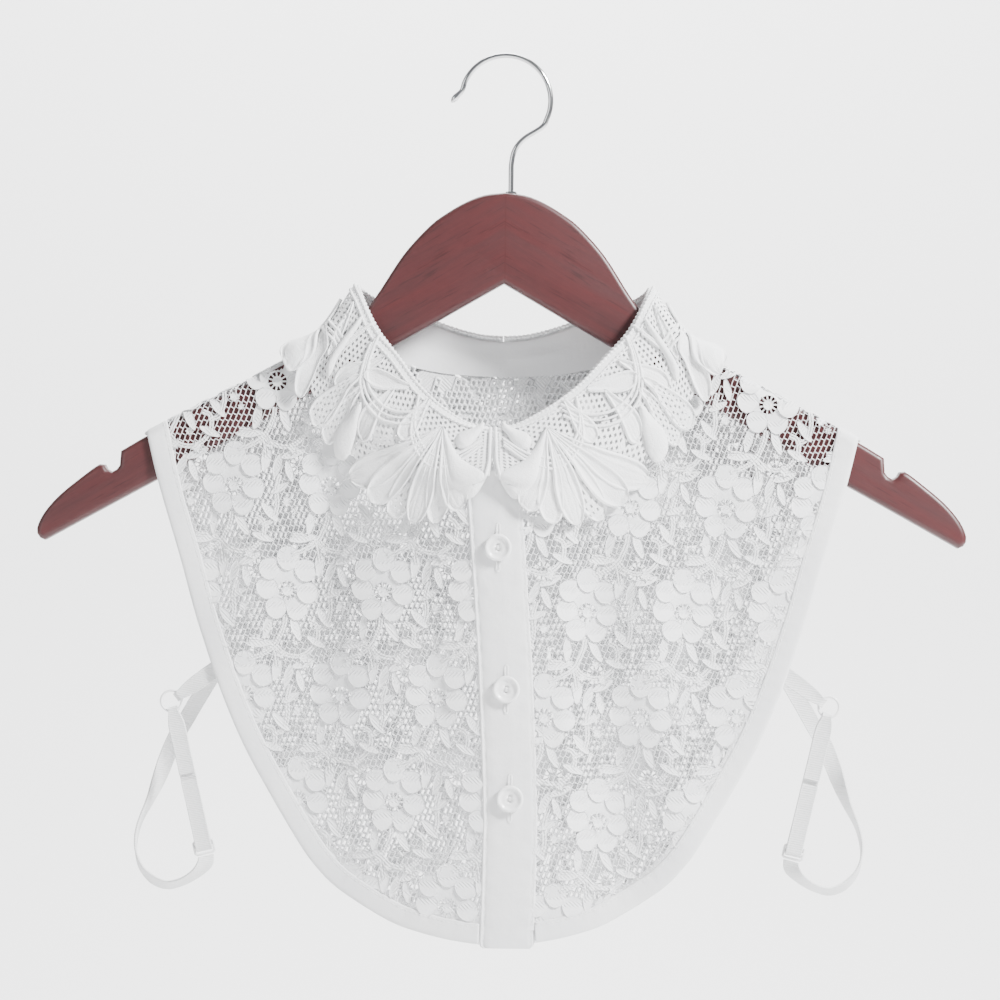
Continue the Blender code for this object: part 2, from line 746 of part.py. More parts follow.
def fall_sections(side):
    """The turn-down collar as sections from the fold to the edge, each of evenly spaced points."""
    edge_run = edge_run_table(side)
    sections = []
    for k in range(161):
        along = k / 160
        base, fold, edge = collar_row(along, side)
        foot, _, rise = stand_line(along, side)
        ahead = stand_line(min(along + 0.01, 1.0), side)[1] - stand_line(max(along - 0.01, 0.0), side)[1]
        out = ahead.cross(rise).normalized()
        centre = Vector((0.0, 0.0, fold.z))
        if out.dot(fold - centre) < 0:
            out = -out
        lobe = abs(math.sin(math.pi * SCALLOPS * edge_run[k])) ** 0.7 - 0.55
        base_flat, edge_flat = np.array(base), np.array(edge)
        width_way = (edge_flat - base_flat) / np.linalg.norm(edge_flat - base_flat)
        edge_flat = edge_flat + width_way * SCALLOP_DEPTH * lobe
        near = base_flat + (edge_flat - base_flat) * 0.15
        half_way = base_flat + (edge_flat - base_flat) * 0.5
        low = base_flat + (edge_flat - base_flat) * 0.78
        stiff = SHOULDER_STIFFNESS * math.exp(-((edge_flat[1] / 22.0) ** 2))
        knots = [
            fold + rise * 1.4,
            fold + rise * 1.2 + out * 1.6,
            fold - rise * 0.6 + out * 2.9,
            lifted(near[0], near[1], 5.5),
            lifted(half_way[0], half_way[1], 4.2),
            lifted(low[0], low[1], 3.6 + stiff),
            lifted(edge_flat[0], edge_flat[1], 2.9 + stiff),
        ]
        sections.append(curve_through(knots, 81))
    return np.array(sections)


def add_fall(name, side):
    sections = fall_sections(side)

    def spot(u, v):
        return Vector(at(at(sections, u), v))

    row_count = len(FALL_ROWS) - 1
    bm = bmesh.new()
    bmesh.ops.create_grid(bm, x_segments=FALL_COLUMNS, y_segments=row_count, size=0.5)
    for v in bm.verts:
        v.co = (v.co.x + 0.5, FALL_ROWS[round((v.co.y + 0.5) * row_count)], 0.0)
    length = sum(np.linalg.norm(np.diff(sections[:, 40], axis=0), axis=1))
    taken = set()
    for along, across, long, wide in WINDOWS:
        width = sum(np.linalg.norm(np.diff(sections[round(along * 160)], axis=0), axis=1))
        half_u, half_v = long / 2 / length, wide / 2 / width

        def reach(co):
            return math.hypot((co.x - along) / half_u, (co.y - across) / half_v)

        near = [f for f in bm.faces if reach(f.calc_center_median()) < 0.92]
        inside = [f for f in near if taken.isdisjoint(f.verts)]
        rim = {v for f in inside for v in f.verts if any(g not in inside for g in v.link_faces)}
        taken |= rim
        bmesh.ops.delete(bm, geom=inside, context="FACES")
        for v in rim:
            pull = reach(v.co)
            if pull > 1e-6:
                v.co.x = along + (v.co.x - along) / pull
                v.co.y = across + (v.co.y - across) / pull
    loose = [v for v in bm.verts if not v.link_faces]
    bmesh.ops.delete(bm, geom=loose, context="VERTS")

    relief = {}
    for v in bm.verts:
        u, across = v.co.x, v.co.y
        petal = abs(math.sin(math.pi * SCALLOPS * u))
        at_window = any(edge.is_boundary for edge in v.link_edges)
        relief[v] = 0.0 if at_window or across < 0.2 else PETAL_RELIEF * petal * smooth((across - 0.2) / 0.3)
        v.co = spot(u, across)
    bm.normal_update()
    sample = max(bm.verts, key=lambda v: v.co.z)
    front = min(bm.verts, key=lambda v: v.co.y)
    if front.normal.y > 0 and sample.normal.z < 0.9:
        bmesh.ops.reverse_faces(bm, faces=bm.faces[:])
    thicken(bm, GUIPURE_WALL, relief=relief)
    add_object(name, bm, ((0.97, 0.97, 0.96), 0.7))


# The elastic side straps with their ring and slider


def mirrored(point, side):
    return Vector((point[0] * side, point[1], point[2]))


def add_band(name, route, side, finish=WHITE_ELASTIC):
    """A flat band along a route of (point, width direction, width)."""
    count = len(route) - 1

    def place(column, row):
        point, across, width = route[row]
        return mirrored(point + across * ((column - 0.5) * width), side)

    add_wall(name, 1, count, place, ELASTIC_WALL, finish)


def turn_round(centre, away, across, half_height, steps=6):
    """Half a turn round a bar: from the front leg, past the far side, to the back leg."""
    points = []
    for k in range(steps + 1):
        angle = math.pi * k / steps
        shift = away * (half_height * math.sin(angle)) - Vector((0, half_height * math.cos(angle), 0))
        points.append((centre + shift, across, STRAP_WIDTH_IN_RING))
    return points


def add_tab(name, side):
    centre = Vector(RING_CENTRE)
    out = Vector((math.cos(TAB_DIRECTION), 0.0, math.sin(TAB_DIRECTION)))
    across = Vector((-out.z, 0.0, out.x))
    bar = centre + out * RING_RADIUS
    sewn = bar + out * 22.0
    sewn.y = flat_point(sewn.x, sewn.z, True).y + COTTON_WALL / 2 + GAP + ELASTIC_WALL / 2 + 0.1
    edge = bar + out * 13.0
    edge.y = sewn.y + 0.2
    front = [(sewn, across, STRAP_WIDTH), (edge, across, STRAP_WIDTH)]
    narrow = bar + out * 5.0
    narrow.y = bar.y - TURN_RADIUS
    front.append((narrow, across, STRAP_WIDTH * 0.85))
    turn = turn_round(bar, -out, across, TURN_RADIUS)
    back_near = bar + out * 5.0
    back_near.y = bar.y + TURN_RADIUS * 0.6
    back_end = bar + out * 11.0
    back_end.y = edge.y + ELASTIC_WALL + GAP + 0.3
    back = [(back_near, across, STRAP_WIDTH * 0.85), (back_end, across, STRAP_WIDTH)]
    add_band(name, front + turn + back, side)


def add_ring(name, side):
    bm = bmesh.new()
    circle = bmesh.ops.create_circle(bm, segments=6, radius=RING_WIRE)["verts"]
    bmesh.ops.translate(bm, vec=(RING_RADIUS, 0, 0), verts=circle)
    bmesh.ops.rotate(bm, cent=(RING_RADIUS, 0, 0), matrix=Matrix.Rotation(math.pi / 2, 3, "X"), verts=circle)
    bmesh.ops.spin(
        bm, geom=circle + bm.edges[:], cent=(0, 0, 0), axis=(0, 0, 1), angle=math.tau, steps=20, use_merge=True,
    )
    bmesh.ops.remove_doubles(bm, verts=bm.verts[:], dist=1e-4)
    bmesh.ops.rotate(bm, cent=(0, 0, 0), matrix=Matrix.Rotation(math.pi / 2, 3, "X"), verts=bm.verts[:])
    bmesh.ops.translate(bm, vec=mirrored(RING_CENTRE, side), verts=bm.verts[:])
    add_object(name, bm, WHITE_COATING)


def slider_axes():
    ring, slider = Vector(RING_CENTRE), Vector(SLIDER_CENTRE)
    down = (slider - ring).normalized()
    across = Vector((-down.z, 0.0, down.x)).normalized()
    return ring, slider, down, across


def add_double_strap(name, side):
    ring, slider, _, _ = slider_axes()
    out = Vector((math.cos(DOUBLE_DIRECTION), 0.0, math.sin(DOUBLE_DIRECTION)))
    bar = ring + out * RING_RADIUS
    middle_bar = slider
    way = (middle_bar - bar).normalized()
    across = Vector((-way.z, 0.0, way.x)).normalized()
    length = (middle_bar - bar).length
    leg = ELASTIC_WALL / 2 + GAP / 2 + 0.05
    turn_low = SLIDER_BAR / 2 + GAP + ELASTIC_WALL / 2 + 0.05

    def leg_point(share, offset, width):
        point = bar + way * (length * share)
        point.y += offset
        return (point, across, width)

    spread = ((0.0, TURN_RADIUS), (0.1, 1.1), (0.3, leg), (0.5, leg), (0.7, leg), (0.88, 1.1), (1.0, turn_low))
    front_down = [leg_point(s, -o, STRAP_WIDTH) for s, o in spread[3:-1]]
    low_turn = turn_round(middle_bar, way, across, turn_low)
    low_turn = [(p, across, STRAP_WIDTH) for p, _, _ in low_turn]
    back_up = [leg_point(s, o, STRAP_WIDTH) for s, o in reversed(spread[1:-1])]
    top_turn = turn_round(bar, -way, across, TURN_RADIUS)[::-1]
    front_top = [leg_point(s, -o, STRAP_WIDTH) for s, o in spread[1:3]]
    end = leg_point(0.46, -leg, STRAP_WIDTH)
    route = front_down + low_turn + back_up + top_turn + front_top + [end]
    add_band(name, route, side)


def add_slider(name, side):
    _, slider, down, across = slider_axes()
    bm = bmesh.new()
    half_w, half_h, bar = SLIDER_WIDTH / 2, SLIDER_HEIGHT / 2, SLIDER_BAR
    bmesh.ops.create_grid(bm, x_segments=3, y_segments=5, size=1.0)
    xs = (-half_w, -half_w + bar, half_w - bar, half_w)
    ys = (-half_h, -half_h + bar, -bar / 2, bar / 2, half_h - bar, half_h)
    for v in bm.verts:
        column = round((v.co.x + 1) / 2 * 3)
        row = round((v.co.y + 1) / 2 * 5)
        v.co = (xs[column], ys[row], 0.0)
    slots = [
        f
        for f in bm.faces
        if abs(f.calc_center_median().x) < 0.1 and bar / 2 < abs(f.calc_center_median().y) < half_h - bar
    ]
    bmesh.ops.delete(bm, geom=slots, context="FACES")
    thicken(bm, bar)
    turn = Matrix((across, -down, Vector((0, 1, 0)))).transposed().to_4x4()
    bmesh.ops.transform(bm, matrix=Matrix.Translation(slider) @ turn, verts=bm.verts[:])
    if side < 0:
        bmesh.ops.scale(bm, vec=(-1, 1, 1), verts=bm.verts[:])
    add_object(name, bm, WHITE_COATING)


def add_loop_strap(name, side):
    _, slider, down, across = slider_axes()
    rows = np.array(LOOP_ROUTE)
    end = flat_point(LOOP_END[0], LOOP_END[1], False)
    end.y -= COTTON_WALL / 2 + GAP + ELASTIC_WALL / 2 + 0.1
    last = (end.x, end.y, end.z, -90.0)
    start = slider + down * (SLIDER_HEIGHT / 2 + GAP + 0.2)
    first = (start.x, start.y, start.z, 74.0)
    path = curve_through([first] + [tuple(r) for r in rows] + [last], 30)
    route = []
    for k, (x, y, z, turn) in enumerate(path):
        ahead = Vector(path[min(k + 1, 29)][:3]) - Vector(path[max(k - 1, 0)][:3])
        way = down if k == 0 else ahead.normalized()
        deep = Vector((0, 1, 0)) - way * way.y
        deep.normalize()
        flat = deep.cross(way)
        angle = math.radians(turn)
        band = deep * math.cos(angle) + flat * math.sin(angle)
        route.append((Vector((x, y, z)), band, STRAP_WIDTH))
    add_band(name, route, side)


def build():
    for obj in list(bpy.data.objects):
        bpy.data.objects.remove(obj, do_unlink=True)
    add_hanger_body()
    add_hanger_hook()
    add_grid_wall("front_panel_left", panel_grid(-1, True), LACE_WALL, WHITE_LACE)
    add_grid_wall("front_panel_right", panel_grid(1, True), LACE_WALL, WHITE_LACE)
    add_back_panel()
    add_front_binding("binding_front_left", -1)
    add_front_binding("binding_front_right", 1)
    add_back_binding()
    add_placket_strip("placket", PLACKET_WIDTH, 0.0, COTTON_WALL)
    behind = COTTON_WALL / 2 + GAP + BUTTON_STAND_WALL / 2
    add_placket_strip("button_stand", BUTTON_STAND_WIDTH, behind, BUTTON_STAND_WALL)
    add_buttons()
    add_collar_stand()
    add_fall("collar_fall_left", -1)
    add_fall("collar_fall_right", 1)
    for word, side in (("left", -1), ("right", 1)):
        add_tab(f"strap_tab_{word}", side)
        add_ring(f"strap_ring_{word}", side)
        add_double_strap(f"strap_double_{word}", side)
        add_slider(f"strap_slider_{word}", side)
        add_loop_strap(f"strap_loop_{word}", side)


build()
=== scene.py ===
import math

import bmesh
import bpy
import numpy as np
from mathutils import Matrix, Vector


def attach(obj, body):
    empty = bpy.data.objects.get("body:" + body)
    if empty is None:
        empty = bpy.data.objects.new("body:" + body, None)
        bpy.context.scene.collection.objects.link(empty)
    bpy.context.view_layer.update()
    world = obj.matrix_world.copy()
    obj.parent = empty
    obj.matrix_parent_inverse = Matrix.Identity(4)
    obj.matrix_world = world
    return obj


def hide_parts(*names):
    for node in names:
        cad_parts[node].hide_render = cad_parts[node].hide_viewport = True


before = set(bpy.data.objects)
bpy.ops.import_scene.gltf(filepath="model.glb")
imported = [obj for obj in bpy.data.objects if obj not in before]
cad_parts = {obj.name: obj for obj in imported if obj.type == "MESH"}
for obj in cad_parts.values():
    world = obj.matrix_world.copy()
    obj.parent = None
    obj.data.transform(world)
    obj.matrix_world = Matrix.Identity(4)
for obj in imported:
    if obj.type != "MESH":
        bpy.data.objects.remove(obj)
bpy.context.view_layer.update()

# Studio: a pale paper sweep, a floor well below the hanging garment, one large soft light from the front
# right, a weaker one from the left and an even pale surround, as for a catalogue picture of white cloth.


class Wire:
    """One socket of a shader's node tree; arithmetic on it adds Math nodes."""

    def __init__(self, tree, socket):
        self.tree, self.socket = tree, socket

    def node(self, kind, settings, inputs, output=0):
        """Adds a node of any kind from its settings and inputs and returns one of its outputs."""
        made = self.tree.nodes.new(kind)
        for name, value in settings.items():
            setattr(made, name, value)
        for key, value in inputs.items():
            if isinstance(value, Wire):
                self.tree.links.new(value.socket, made.inputs[key])
            else:
                made.inputs[key].default_value = value
        return Wire(self.tree, made.outputs[output])

    def maths(self, operation, *values):
        inputs = dict(enumerate((self, *values)))
        return self.node("ShaderNodeMath", {"operation": operation}, inputs)

    def __add__(self, other):
        return self.maths("ADD", other)

    def __radd__(self, other):
        return self.maths("ADD", other)

    def __sub__(self, other):
        return self.maths("SUBTRACT", other)

    def __rsub__(self, other):
        return (self * -1.0).maths("ADD", other)

    def __mul__(self, other):
        return self.maths("MULTIPLY", other)

    def __rmul__(self, other):
        return self.maths("MULTIPLY", other)

    def __truediv__(self, other):
        return self.maths("DIVIDE", other)

    def scaled(self, x, y, z):
        return self.node("ShaderNodeVectorMath", {"operation": "MULTIPLY"}, {0: self, 1: (x, y, z)})

    def part(self, axis):
        return self.node("ShaderNodeSeparateXYZ", {}, {0: self}, axis)

    def noise(self, scale, detail=2.0, roughness=0.5):
        inputs = {"Vector": self, "Scale": scale, "Detail": detail, "Roughness": roughness}
        return self.node("ShaderNodeTexNoise", {}, inputs)

    def ramp(self, low, high, start, end):
        """This value taken from low..high to start..end, held at both ends."""
        inputs = {0: self, 1: low, 2: high, 3: start, 4: end}
        return self.node("ShaderNodeMapRange", {}, inputs)

    def mix(self, first, second):
        """A colour between two, by this value."""
        inputs = {"Factor": self, 6: first, 7: second}
        return self.node("ShaderNodeMix", {"data_type": "RGBA"}, inputs, 2)


def new_material(name, colour, roughness, **constants):
    """A Principled material; returns it, its shader and the Object coordinates."""
    material = bpy.data.materials.new(name)
    material.use_nodes = True
    tree = material.node_tree
    shader = tree.nodes["Principled BSDF"]
    shader.inputs["Base Color"].default_value = (*colour, 1.0)
    shader.inputs["Roughness"].default_value = roughness
    for key, value in constants.items():
        shader.inputs[key.replace("_", " ")].default_value = value
    coordinates = tree.nodes.new("ShaderNodeTexCoord")
    return material, shader, Wire(tree, coordinates.outputs["Object"])


def feed(shader, key, wire):
    wire.tree.links.new(wire.socket, shader.inputs[key])


def raise_surface(shader, height, distance, strength=1.0):
    """Feeds a height in to the shader's normal."""
    inputs = {"Height": height, "Distance": distance, "Strength": strength}
    feed(shader, "Normal", height.node("ShaderNodeBump", {}, inputs))


def add_mesh(name, bm, material, smooth=True):
    mesh = bpy.data.meshes.new(name)
    bm.to_mesh(mesh)
    bm.free()
    if smooth:
        mesh.shade_smooth()
    obj = bpy.data.objects.new(name, mesh)
    mesh.materials.append(material)
    bpy.context.scene.collection.objects.link(obj)
    return obj


FLOOR_Z = -0.80
SWEEP_Y = 2.6
bm = bmesh.new()
bmesh.ops.create_grid(bm, x_segments=1, y_segments=1, size=4.5)
bmesh.ops.translate(bm, vec=(0, SWEEP_Y - 4.5, FLOOR_Z), verts=bm.verts[:])
back_edge = [e for e in bm.edges if all(v.co.y > SWEEP_Y - 0.01 for v in e.verts)]
grown = bmesh.ops.extrude_edge_only(bm, edges=back_edge)
bmesh.ops.translate(bm, vec=(0, 0, 4.6), verts=[g for g in grown["geom"] if isinstance(g, bmesh.types.BMVert)])
bmesh.ops.bevel(bm, geom=back_edge, offset=0.5, segments=10, profile=0.5, affect="EDGES", material=-1)
paper, paper_shader, paper_place = new_material("paper", (0.92, 0.92, 0.92), 0.9)
feed(paper_shader, "Roughness", paper_place.noise(6.0).ramp(0.3, 0.7, 0.88, 0.93))
sweep = add_mesh("paper_sweep", bm, paper)

LIGHTS = (
    # name, place, aim, size, power
    ("key", (1.45, -1.0, 1.0), (0.0, 0.0, -0.2), 0.5, 172.0),
    ("fill", (-1.5, -1.6, 0.3), (0.0, 0.0, -0.22), 1.4, 14.0),
    ("sweep_light", (0.0, 1.3, 1.9), (0.0, 2.6, -0.3), 1.8, 210.0),
)
for name, place, aim, size, power in LIGHTS:
    lamp = bpy.data.lights.new(name, "AREA")
    lamp.shape = "DISK"
    lamp.size = size
    lamp.energy = power
    lamp_object = bpy.data.objects.new(name, lamp)
    lamp_object.location = place
    lamp_object.rotation_euler = (Vector(aim) - Vector(place)).to_track_quat("-Z", "Y").to_euler()
    bpy.context.scene.collection.objects.link(lamp_object)
surround = bpy.data.worlds.new("surround")
bpy.context.scene.world = surround
surround.use_nodes = True
surround.node_tree.nodes["Background"].inputs["Color"].default_value = (0.95, 0.97, 1.0, 1.0)
surround.node_tree.nodes["Background"].inputs["Strength"].default_value = 0.34

camera_data = bpy.data.cameras.new("camera")
camera_data.lens = 134.8
camera_data.sensor_width = 36.0
camera = bpy.data.objects.new("camera", camera_data)
camera.location = (-0.00096, -1.8, -0.2124)
camera.rotation_euler = (math.radians(90.0), math.radians(-0.55), 0.0)
bpy.context.scene.collection.objects.link(camera)
bpy.context.scene.camera = camera

# Hanger: two beech arms glued at the middle, 12 mm thick with every edge rounded over, stained red-brown
# and lacquered.  Sizes from here on are in millimetres and become metres when a piece is added.

MM = 0.001
HANGER_THICKNESS = 12.0
HANGER_ROUND = 2.4
HANGER_TOP = (
    # x, z of the upper edge, from the middle out to the notch
    (0.0, -64.9),
    (10.0, -66.2),
    (19.2, -69.9),
    (28.0, -75.2),
    (35.8, -81.2),
    (48.0, -94.7),
    (60.0, -113.2),
    (67.4, -123.3),
    (74.0, -129.8),
    (80.0, -134.9),
    (88.0, -139.3),
    (96.0, -143.2),
    (112.0, -152.0),
    (128.0, -160.6),
    (152.0, -172.9),
    (172.0, -184.0),
    (183.0, -190.6),
)
HANGER_END = (
    # x, z of the strap notch and the round end, then the straight lower edge up to the vee
    (183.5, -197.5),
    (186.3, -200.6),
    (189.6, -199.4),
    (192.4, -196.7),
    (203.0, -204.3),
    (212.6, -212.4),
    (219.5, -220.5),
    (222.8, -227.5),
    (222.2, -231.8),
    (219.0, -233.6),
    (166.0, -204.4),
)
HANGER_VEE_Z = -108.6


def curve_through(points, count):
    """A smooth curve through the points, as evenly spaced points."""
    knots = np.array(points, dtype=float)
    padded = np.vstack([2 * knots[0] - knots[1], knots, 2 * knots[-1] - knots[-2]])
    fine = []
    for i in range(1, len(padded) - 2):
        a, b, c, d = padded[i - 1 : i + 3]
        for t in np.linspace(0.0, 1.0, 12, endpoint=False):
            bend = (2 * a - 5 * b + 4 * c - d) * t * t + (3 * b - a - 3 * c + d) * t**3
            fine.append(0.5 * (2 * b + (c - a) * t + bend))
    fine = np.array(fine + [knots[-1]])
    run = np.concatenate([[0.0], np.cumsum(np.linalg.norm(np.diff(fine, axis=0), axis=1))])
    stations = np.linspace(0.0, run[-1], count)
    return np.stack([np.interp(stations, run, fine[:, k]) for k in range(fine.shape[1])], axis=1)


def add_piece(name, bm, material, replaced=()):
    """Adds a piece of the object, drawn in millimetres; it stands for CAD nodes."""
    bmesh.ops.scale(bm, vec=(MM, MM, MM), verts=bm.verts[:])
    obj = add_mesh(name, bm, material)
    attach(obj, "root")
    if replaced:
        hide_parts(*replaced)
    return obj


half = [tuple(p) for p in curve_through(HANGER_TOP, 70)]
half += [tuple(p) for p in curve_through(HANGER_END[:-1], 26)] + [HANGER_END[-1]]
outline = half + [(0.0, HANGER_VEE_Z)] + [(-x, z) for x, z in reversed(half[1:])]
bm = bmesh.new()
face = bm.faces.new([bm.verts.new((x, -HANGER_THICKNESS / 2, z)) for x, z in outline])
swept = bmesh.ops.extrude_face_region(bm, geom=[face])
far = [g for g in swept["geom"] if isinstance(g, bmesh.types.BMVert)]
bmesh.ops.translate(bm, vec=(0, HANGER_THICKNESS, 0), verts=far)
rims = [e for e in bm.edges if abs(e.verts[0].co.y - e.verts[1].co.y) < 1e-6]
bmesh.ops.bevel(
    bm, geom=rims, offset=HANGER_ROUND, segments=4, profile=0.5, affect="EDGES", material=-1,
    clamp_overlap=True,
)
bmesh.ops.recalc_face_normals(bm, faces=bm.faces[:])
wood, wood_shader, wood_place = new_material(
    "wood_lacquer", (0.16, 0.035, 0.03), 0.42, Coat_Weight=0.12, Coat_Roughness=0.3
)
arm = wood_place.part(0).maths("ABSOLUTE")
along = wood_place.part(2) * 0.87 + arm * 0.5
across = arm * 0.87 - wood_place.part(2) * 0.5
grain_place = along.node(
    "ShaderNodeCombineXYZ", {}, {0: across * 9.0, 1: wood_place.part(1) * 60.0, 2: along * 120.0}
)
grain = grain_place.noise(1.6, 5.0, 0.65)
pores = grain_place.scaled(3.0, 3.0, 4.0).noise(2.4, 2.0, 0.5)
tone = grain.ramp(0.3, 0.72, 0.0, 1.0)
stain = tone.mix((0.044, 0.0085, 0.0095, 1.0), (0.070, 0.0150, 0.0160, 1.0))
stain = pores.ramp(0.6, 0.72, 0.0, 0.55).mix(stain, (0.018, 0.0034, 0.0038, 1.0))
joint = (wood_place.part(0) + -0.0004).maths("ABSOLUTE").ramp(0.00018, 0.0004, 0.7, 0.0)
stain = joint.mix(stain, (0.05, 0.008, 0.008, 1.0))
feed(wood_shader, "Base Color", stain)
feed(wood_shader, "Roughness", grain.ramp(0.3, 0.7, 0.50, 0.36))
raise_surface(wood_shader, grain * 0.5 + pores * 0.5, 0.00012, 0.5)
hanger = add_piece("hanger_wood", bm, wood, ["hanger_body"])
hanger.data.set_sharp_from_angle(angle=math.radians(50))

# Hook: one bent length of 2.6 mm steel wire, chromed, with a ball tip, screwed into the wood so that
# it turns.  A thin washer ring closes the socket.

WIRE_RADIUS = 1.3
HOOK_RADIUS = 21.6
SHANK = ((9.2, -38.4), (4.8, -43.6), (3.1, -50.0), (2.9, -58.0), (2.9, -84.9))
angles = [math.radians(a) for a in range(168, -40, -12)]
turns = [(HOOK_RADIUS * math.cos(a), WIRE_RADIUS - HOOK_RADIUS + HOOK_RADIUS * math.sin(a)) for a in angles]
route = curve_through([(-26.1, -21.6), (-23.8, -18.6)] + turns + list(SHANK), 150)


def add_tube(bm, points, radius, sides, closed=False):
    """A round tube along the points: a circle is set at each and the circles are bridged."""
    rings = []
    count = len(points)
    for k, point in enumerate(points):
        before = points[(k - 1) % count] if closed else points[max(k - 1, 0)]
        after = points[(k + 1) % count] if closed else points[min(k + 1, count - 1)]
        way = (Vector(after) - Vector(before)).normalized()
        turn = way.to_track_quat("Z", "Y").to_matrix().to_4x4()
        swell = radius[k] if isinstance(radius, (list, tuple)) else radius
        made = bmesh.ops.create_circle(
            bm, segments=sides, radius=swell, matrix=Matrix.Translation(Vector(point)) @ turn
        )
        rings.append(made["verts"])
    loops = [list({e for v in ring for e in v.link_edges}) for ring in rings]
    pairs = list(zip(loops, loops[1:])) + ([(loops[-1], loops[0])] if closed else [])
    for one, other in pairs:
        bmesh.ops.bridge_loops(bm, edges=one + other)
    if not closed:
        bmesh.ops.holes_fill(bm, edges=loops[0] + loops[-1], sides=0)


bm = bmesh.new()
tip = [0.4, 1.1, 1.5, 1.62, 1.55, 1.4]
swells = tip + [WIRE_RADIUS] * (len(route) - len(tip))
add_tube(bm, [(x, 0.0, z) for x, z in route], swells, 16)
bmesh.ops.recalc_face_normals(bm, faces=bm.faces[:])
chrome, chrome_shader, chrome_place = new_material("chrome", (0.70, 0.70, 0.71), 0.12, Metallic=1.0)
feed(chrome_shader, "Roughness", chrome_place.noise(160.0).ramp(0.3, 0.7, 0.08, 0.2))
add_piece("hook_wire", bm, chrome, ["hanger_hook"])
bm = bmesh.new()
bmesh.ops.create_cone(
    bm, cap_ends=True, segments=28, radius1=3.3, radius2=2.6, depth=1.0,
    matrix=Matrix.Translation((2.9, 0.0, -64.7)),
)
washer = add_piece("hook_washer", bm, chrome, ())
washer.data.set_sharp_from_angle(angle=math.radians(30))

# Lace of the two panels: a soft cotton net of slanting six-sided meshes, embroidered by machine with
# six-petalled flowers, almond leaves on paired stems, scrolls and small spiky buds.  The panels hang
# over the wood; the collar, placket and binding cover their cut edges.

CLOTH_LIFT = 1.5
LEVEL_RUN = 4.0
BEND_RADIUS = 3.2
BEND_ARC = BEND_RADIUS * math.pi / 2
SEAM_RISE = LEVEL_RUN + BEND_ARC - BEND_RADIUS
PANEL_FACE = BEND_RADIUS + LEVEL_RUN + 0.15
NECK_SIDE_X = 79.0
SHOULDER_TIP_X = 172.0
BINDING_WIDTH = 10.0
PLACKET_WIDTH = 25.8
PLACKET_BOTTOM_Z = -425.6
OUTLINE = (
    # x, z of the cut edge, seen from the front
    (170.8, -180.4),
    (164.6, -205.0),
    (153.9, -239.8),
    (147.0, -264.6),
    (142.6, -278.5),
    (133.7, -304.2),
    (122.7, -329.9),
    (109.1, -354.6),
    (96.0, -376.3),
    (88.6, -386.7),
    (79.7, -396.1),
    (68.7, -403.9),
    (55.4, -411.8),
    (45.5, -416.3),
    (28.7, -420.9),
    (11.9, -423.6),
    (0.0, -424.0),
)
PLACKET_LINE = (
    # z, x of the middle of the placket, which hangs a little askew
    (-428.0, 4.0),
    (-394.0, 4.9),
    (-364.7, 5.4),
    (-335.4, 4.4),
    (-291.2, 2.3),
    (-247.0, -0.8),
    (-198.0, -4.6),
)
COLLAR = (
    # base_x, base_down, fold_x, fold_y, fold_z, edge_x, edge_down, from centre front round to centre back
    (0.5, 74.0, 0.5, -24.5, -180.8, 4.0, 78.4),
    (14.0, 72.6, 12.0, -24.0, -178.5, 13.5, 90.4),
    (28.0, 65.9, 25.5, -22.2, -171.0, 31.0, 98.4),
    (45.0, 53.4, 38.5, -19.2, -160.0, 51.0, 93.9),
    (60.0, 38.4, 49.5, -16.0, -147.0, 69.5, 76.4),
    (72.0, 21.4, 60.5, -12.6, -134.0, 86.0, 50.0),
    (77.5, 10.7, 67.5, -8.2, -121.0, 97.0, 25.0),
    (79.0, 0.0, 70.5, 0.0, -112.5, 105.0, 0.0),
    (77.5, -10.7, 68.5, 8.2, -114.5, 97.0, -25.0),
    (72.0, -17.4, 62.0, 13.0, -118.0, 86.0, -42.0),
    (56.0, -22.4, 48.0, 17.0, -122.6, 66.0, -53.9),
    (32.0, -27.4, 27.5, 19.6, -130.4, 36.0, -59.4),
    (14.0, -28.8, 12.0, 20.4, -134.6, 15.0, -61.0),
    (0.3, -29.2, 0.3, 20.6, -135.6, 0.3, -61.4),
)
FRONT_FOLDS = (
    # x_top, z_top, x_bottom, z_bottom, half_width, out: the five long folds of the cut cloth
    (42.0, -235.0, 60.0, -412.0, 12.0, -3.2),
    (66.0, -225.0, 90.0, -395.0, 15.0, 3.6),
    (-80.0, -185.0, -92.0, -330.0, 11.0, -2.6),
    (-60.0, -235.0, -58.0, -410.0, 17.0, 2.6),
    (-118.0, -195.0, -126.0, -300.0, 14.0, 2.2),
    # and the short creases between them
    (100.0, -205.0, 112.0, -285.0, 6.0, -0.9),
    (30.0, -300.0, 34.0, -395.0, 5.0, 0.8),
    (-34.0, -262.0, -30.0, -330.0, 5.5, -0.8),
    (-22.0, -372.0, -40.0, -415.0, 4.5, 0.7),
    (-140.0, -215.0, -132.0, -262.0, 5.0, -0.7),
    (120.0, -262.0, 104.0, -318.0, 5.0, 0.8),
    (24.0, -232.0, 22.0, -262.0, 3.6, 0.7),
)
BACK_FOLDS = (
    # x_top, z_top, x_bottom, z_bottom, half_width, out
    (-46.0, -205.0, -62.0, -405.0, 16.0, 3.2),
    (36.0, -215.0, 52.0, -410.0, 14.0, -2.4),
    (92.0, -190.0, 98.0, -350.0, 13.0, 2.6),
    (-104.0, -210.0, -98.0, -300.0, 6.0, -0.9),
    (4.0, -300.0, -6.0, -392.0, 6.0, 0.8),
    (-14.0, -190.0, -8.0, -232.0, 5.0, -0.7),
    (126.0, -225.0, 116.0, -290.0, 5.0, 0.7),
)
TOP_CURVE = curve_through(HANGER_TOP, 90)


def smooth(value):
    t = np.clip(value, 0.0, 1.0)
    return t * t * (3.0 - 2.0 * t)


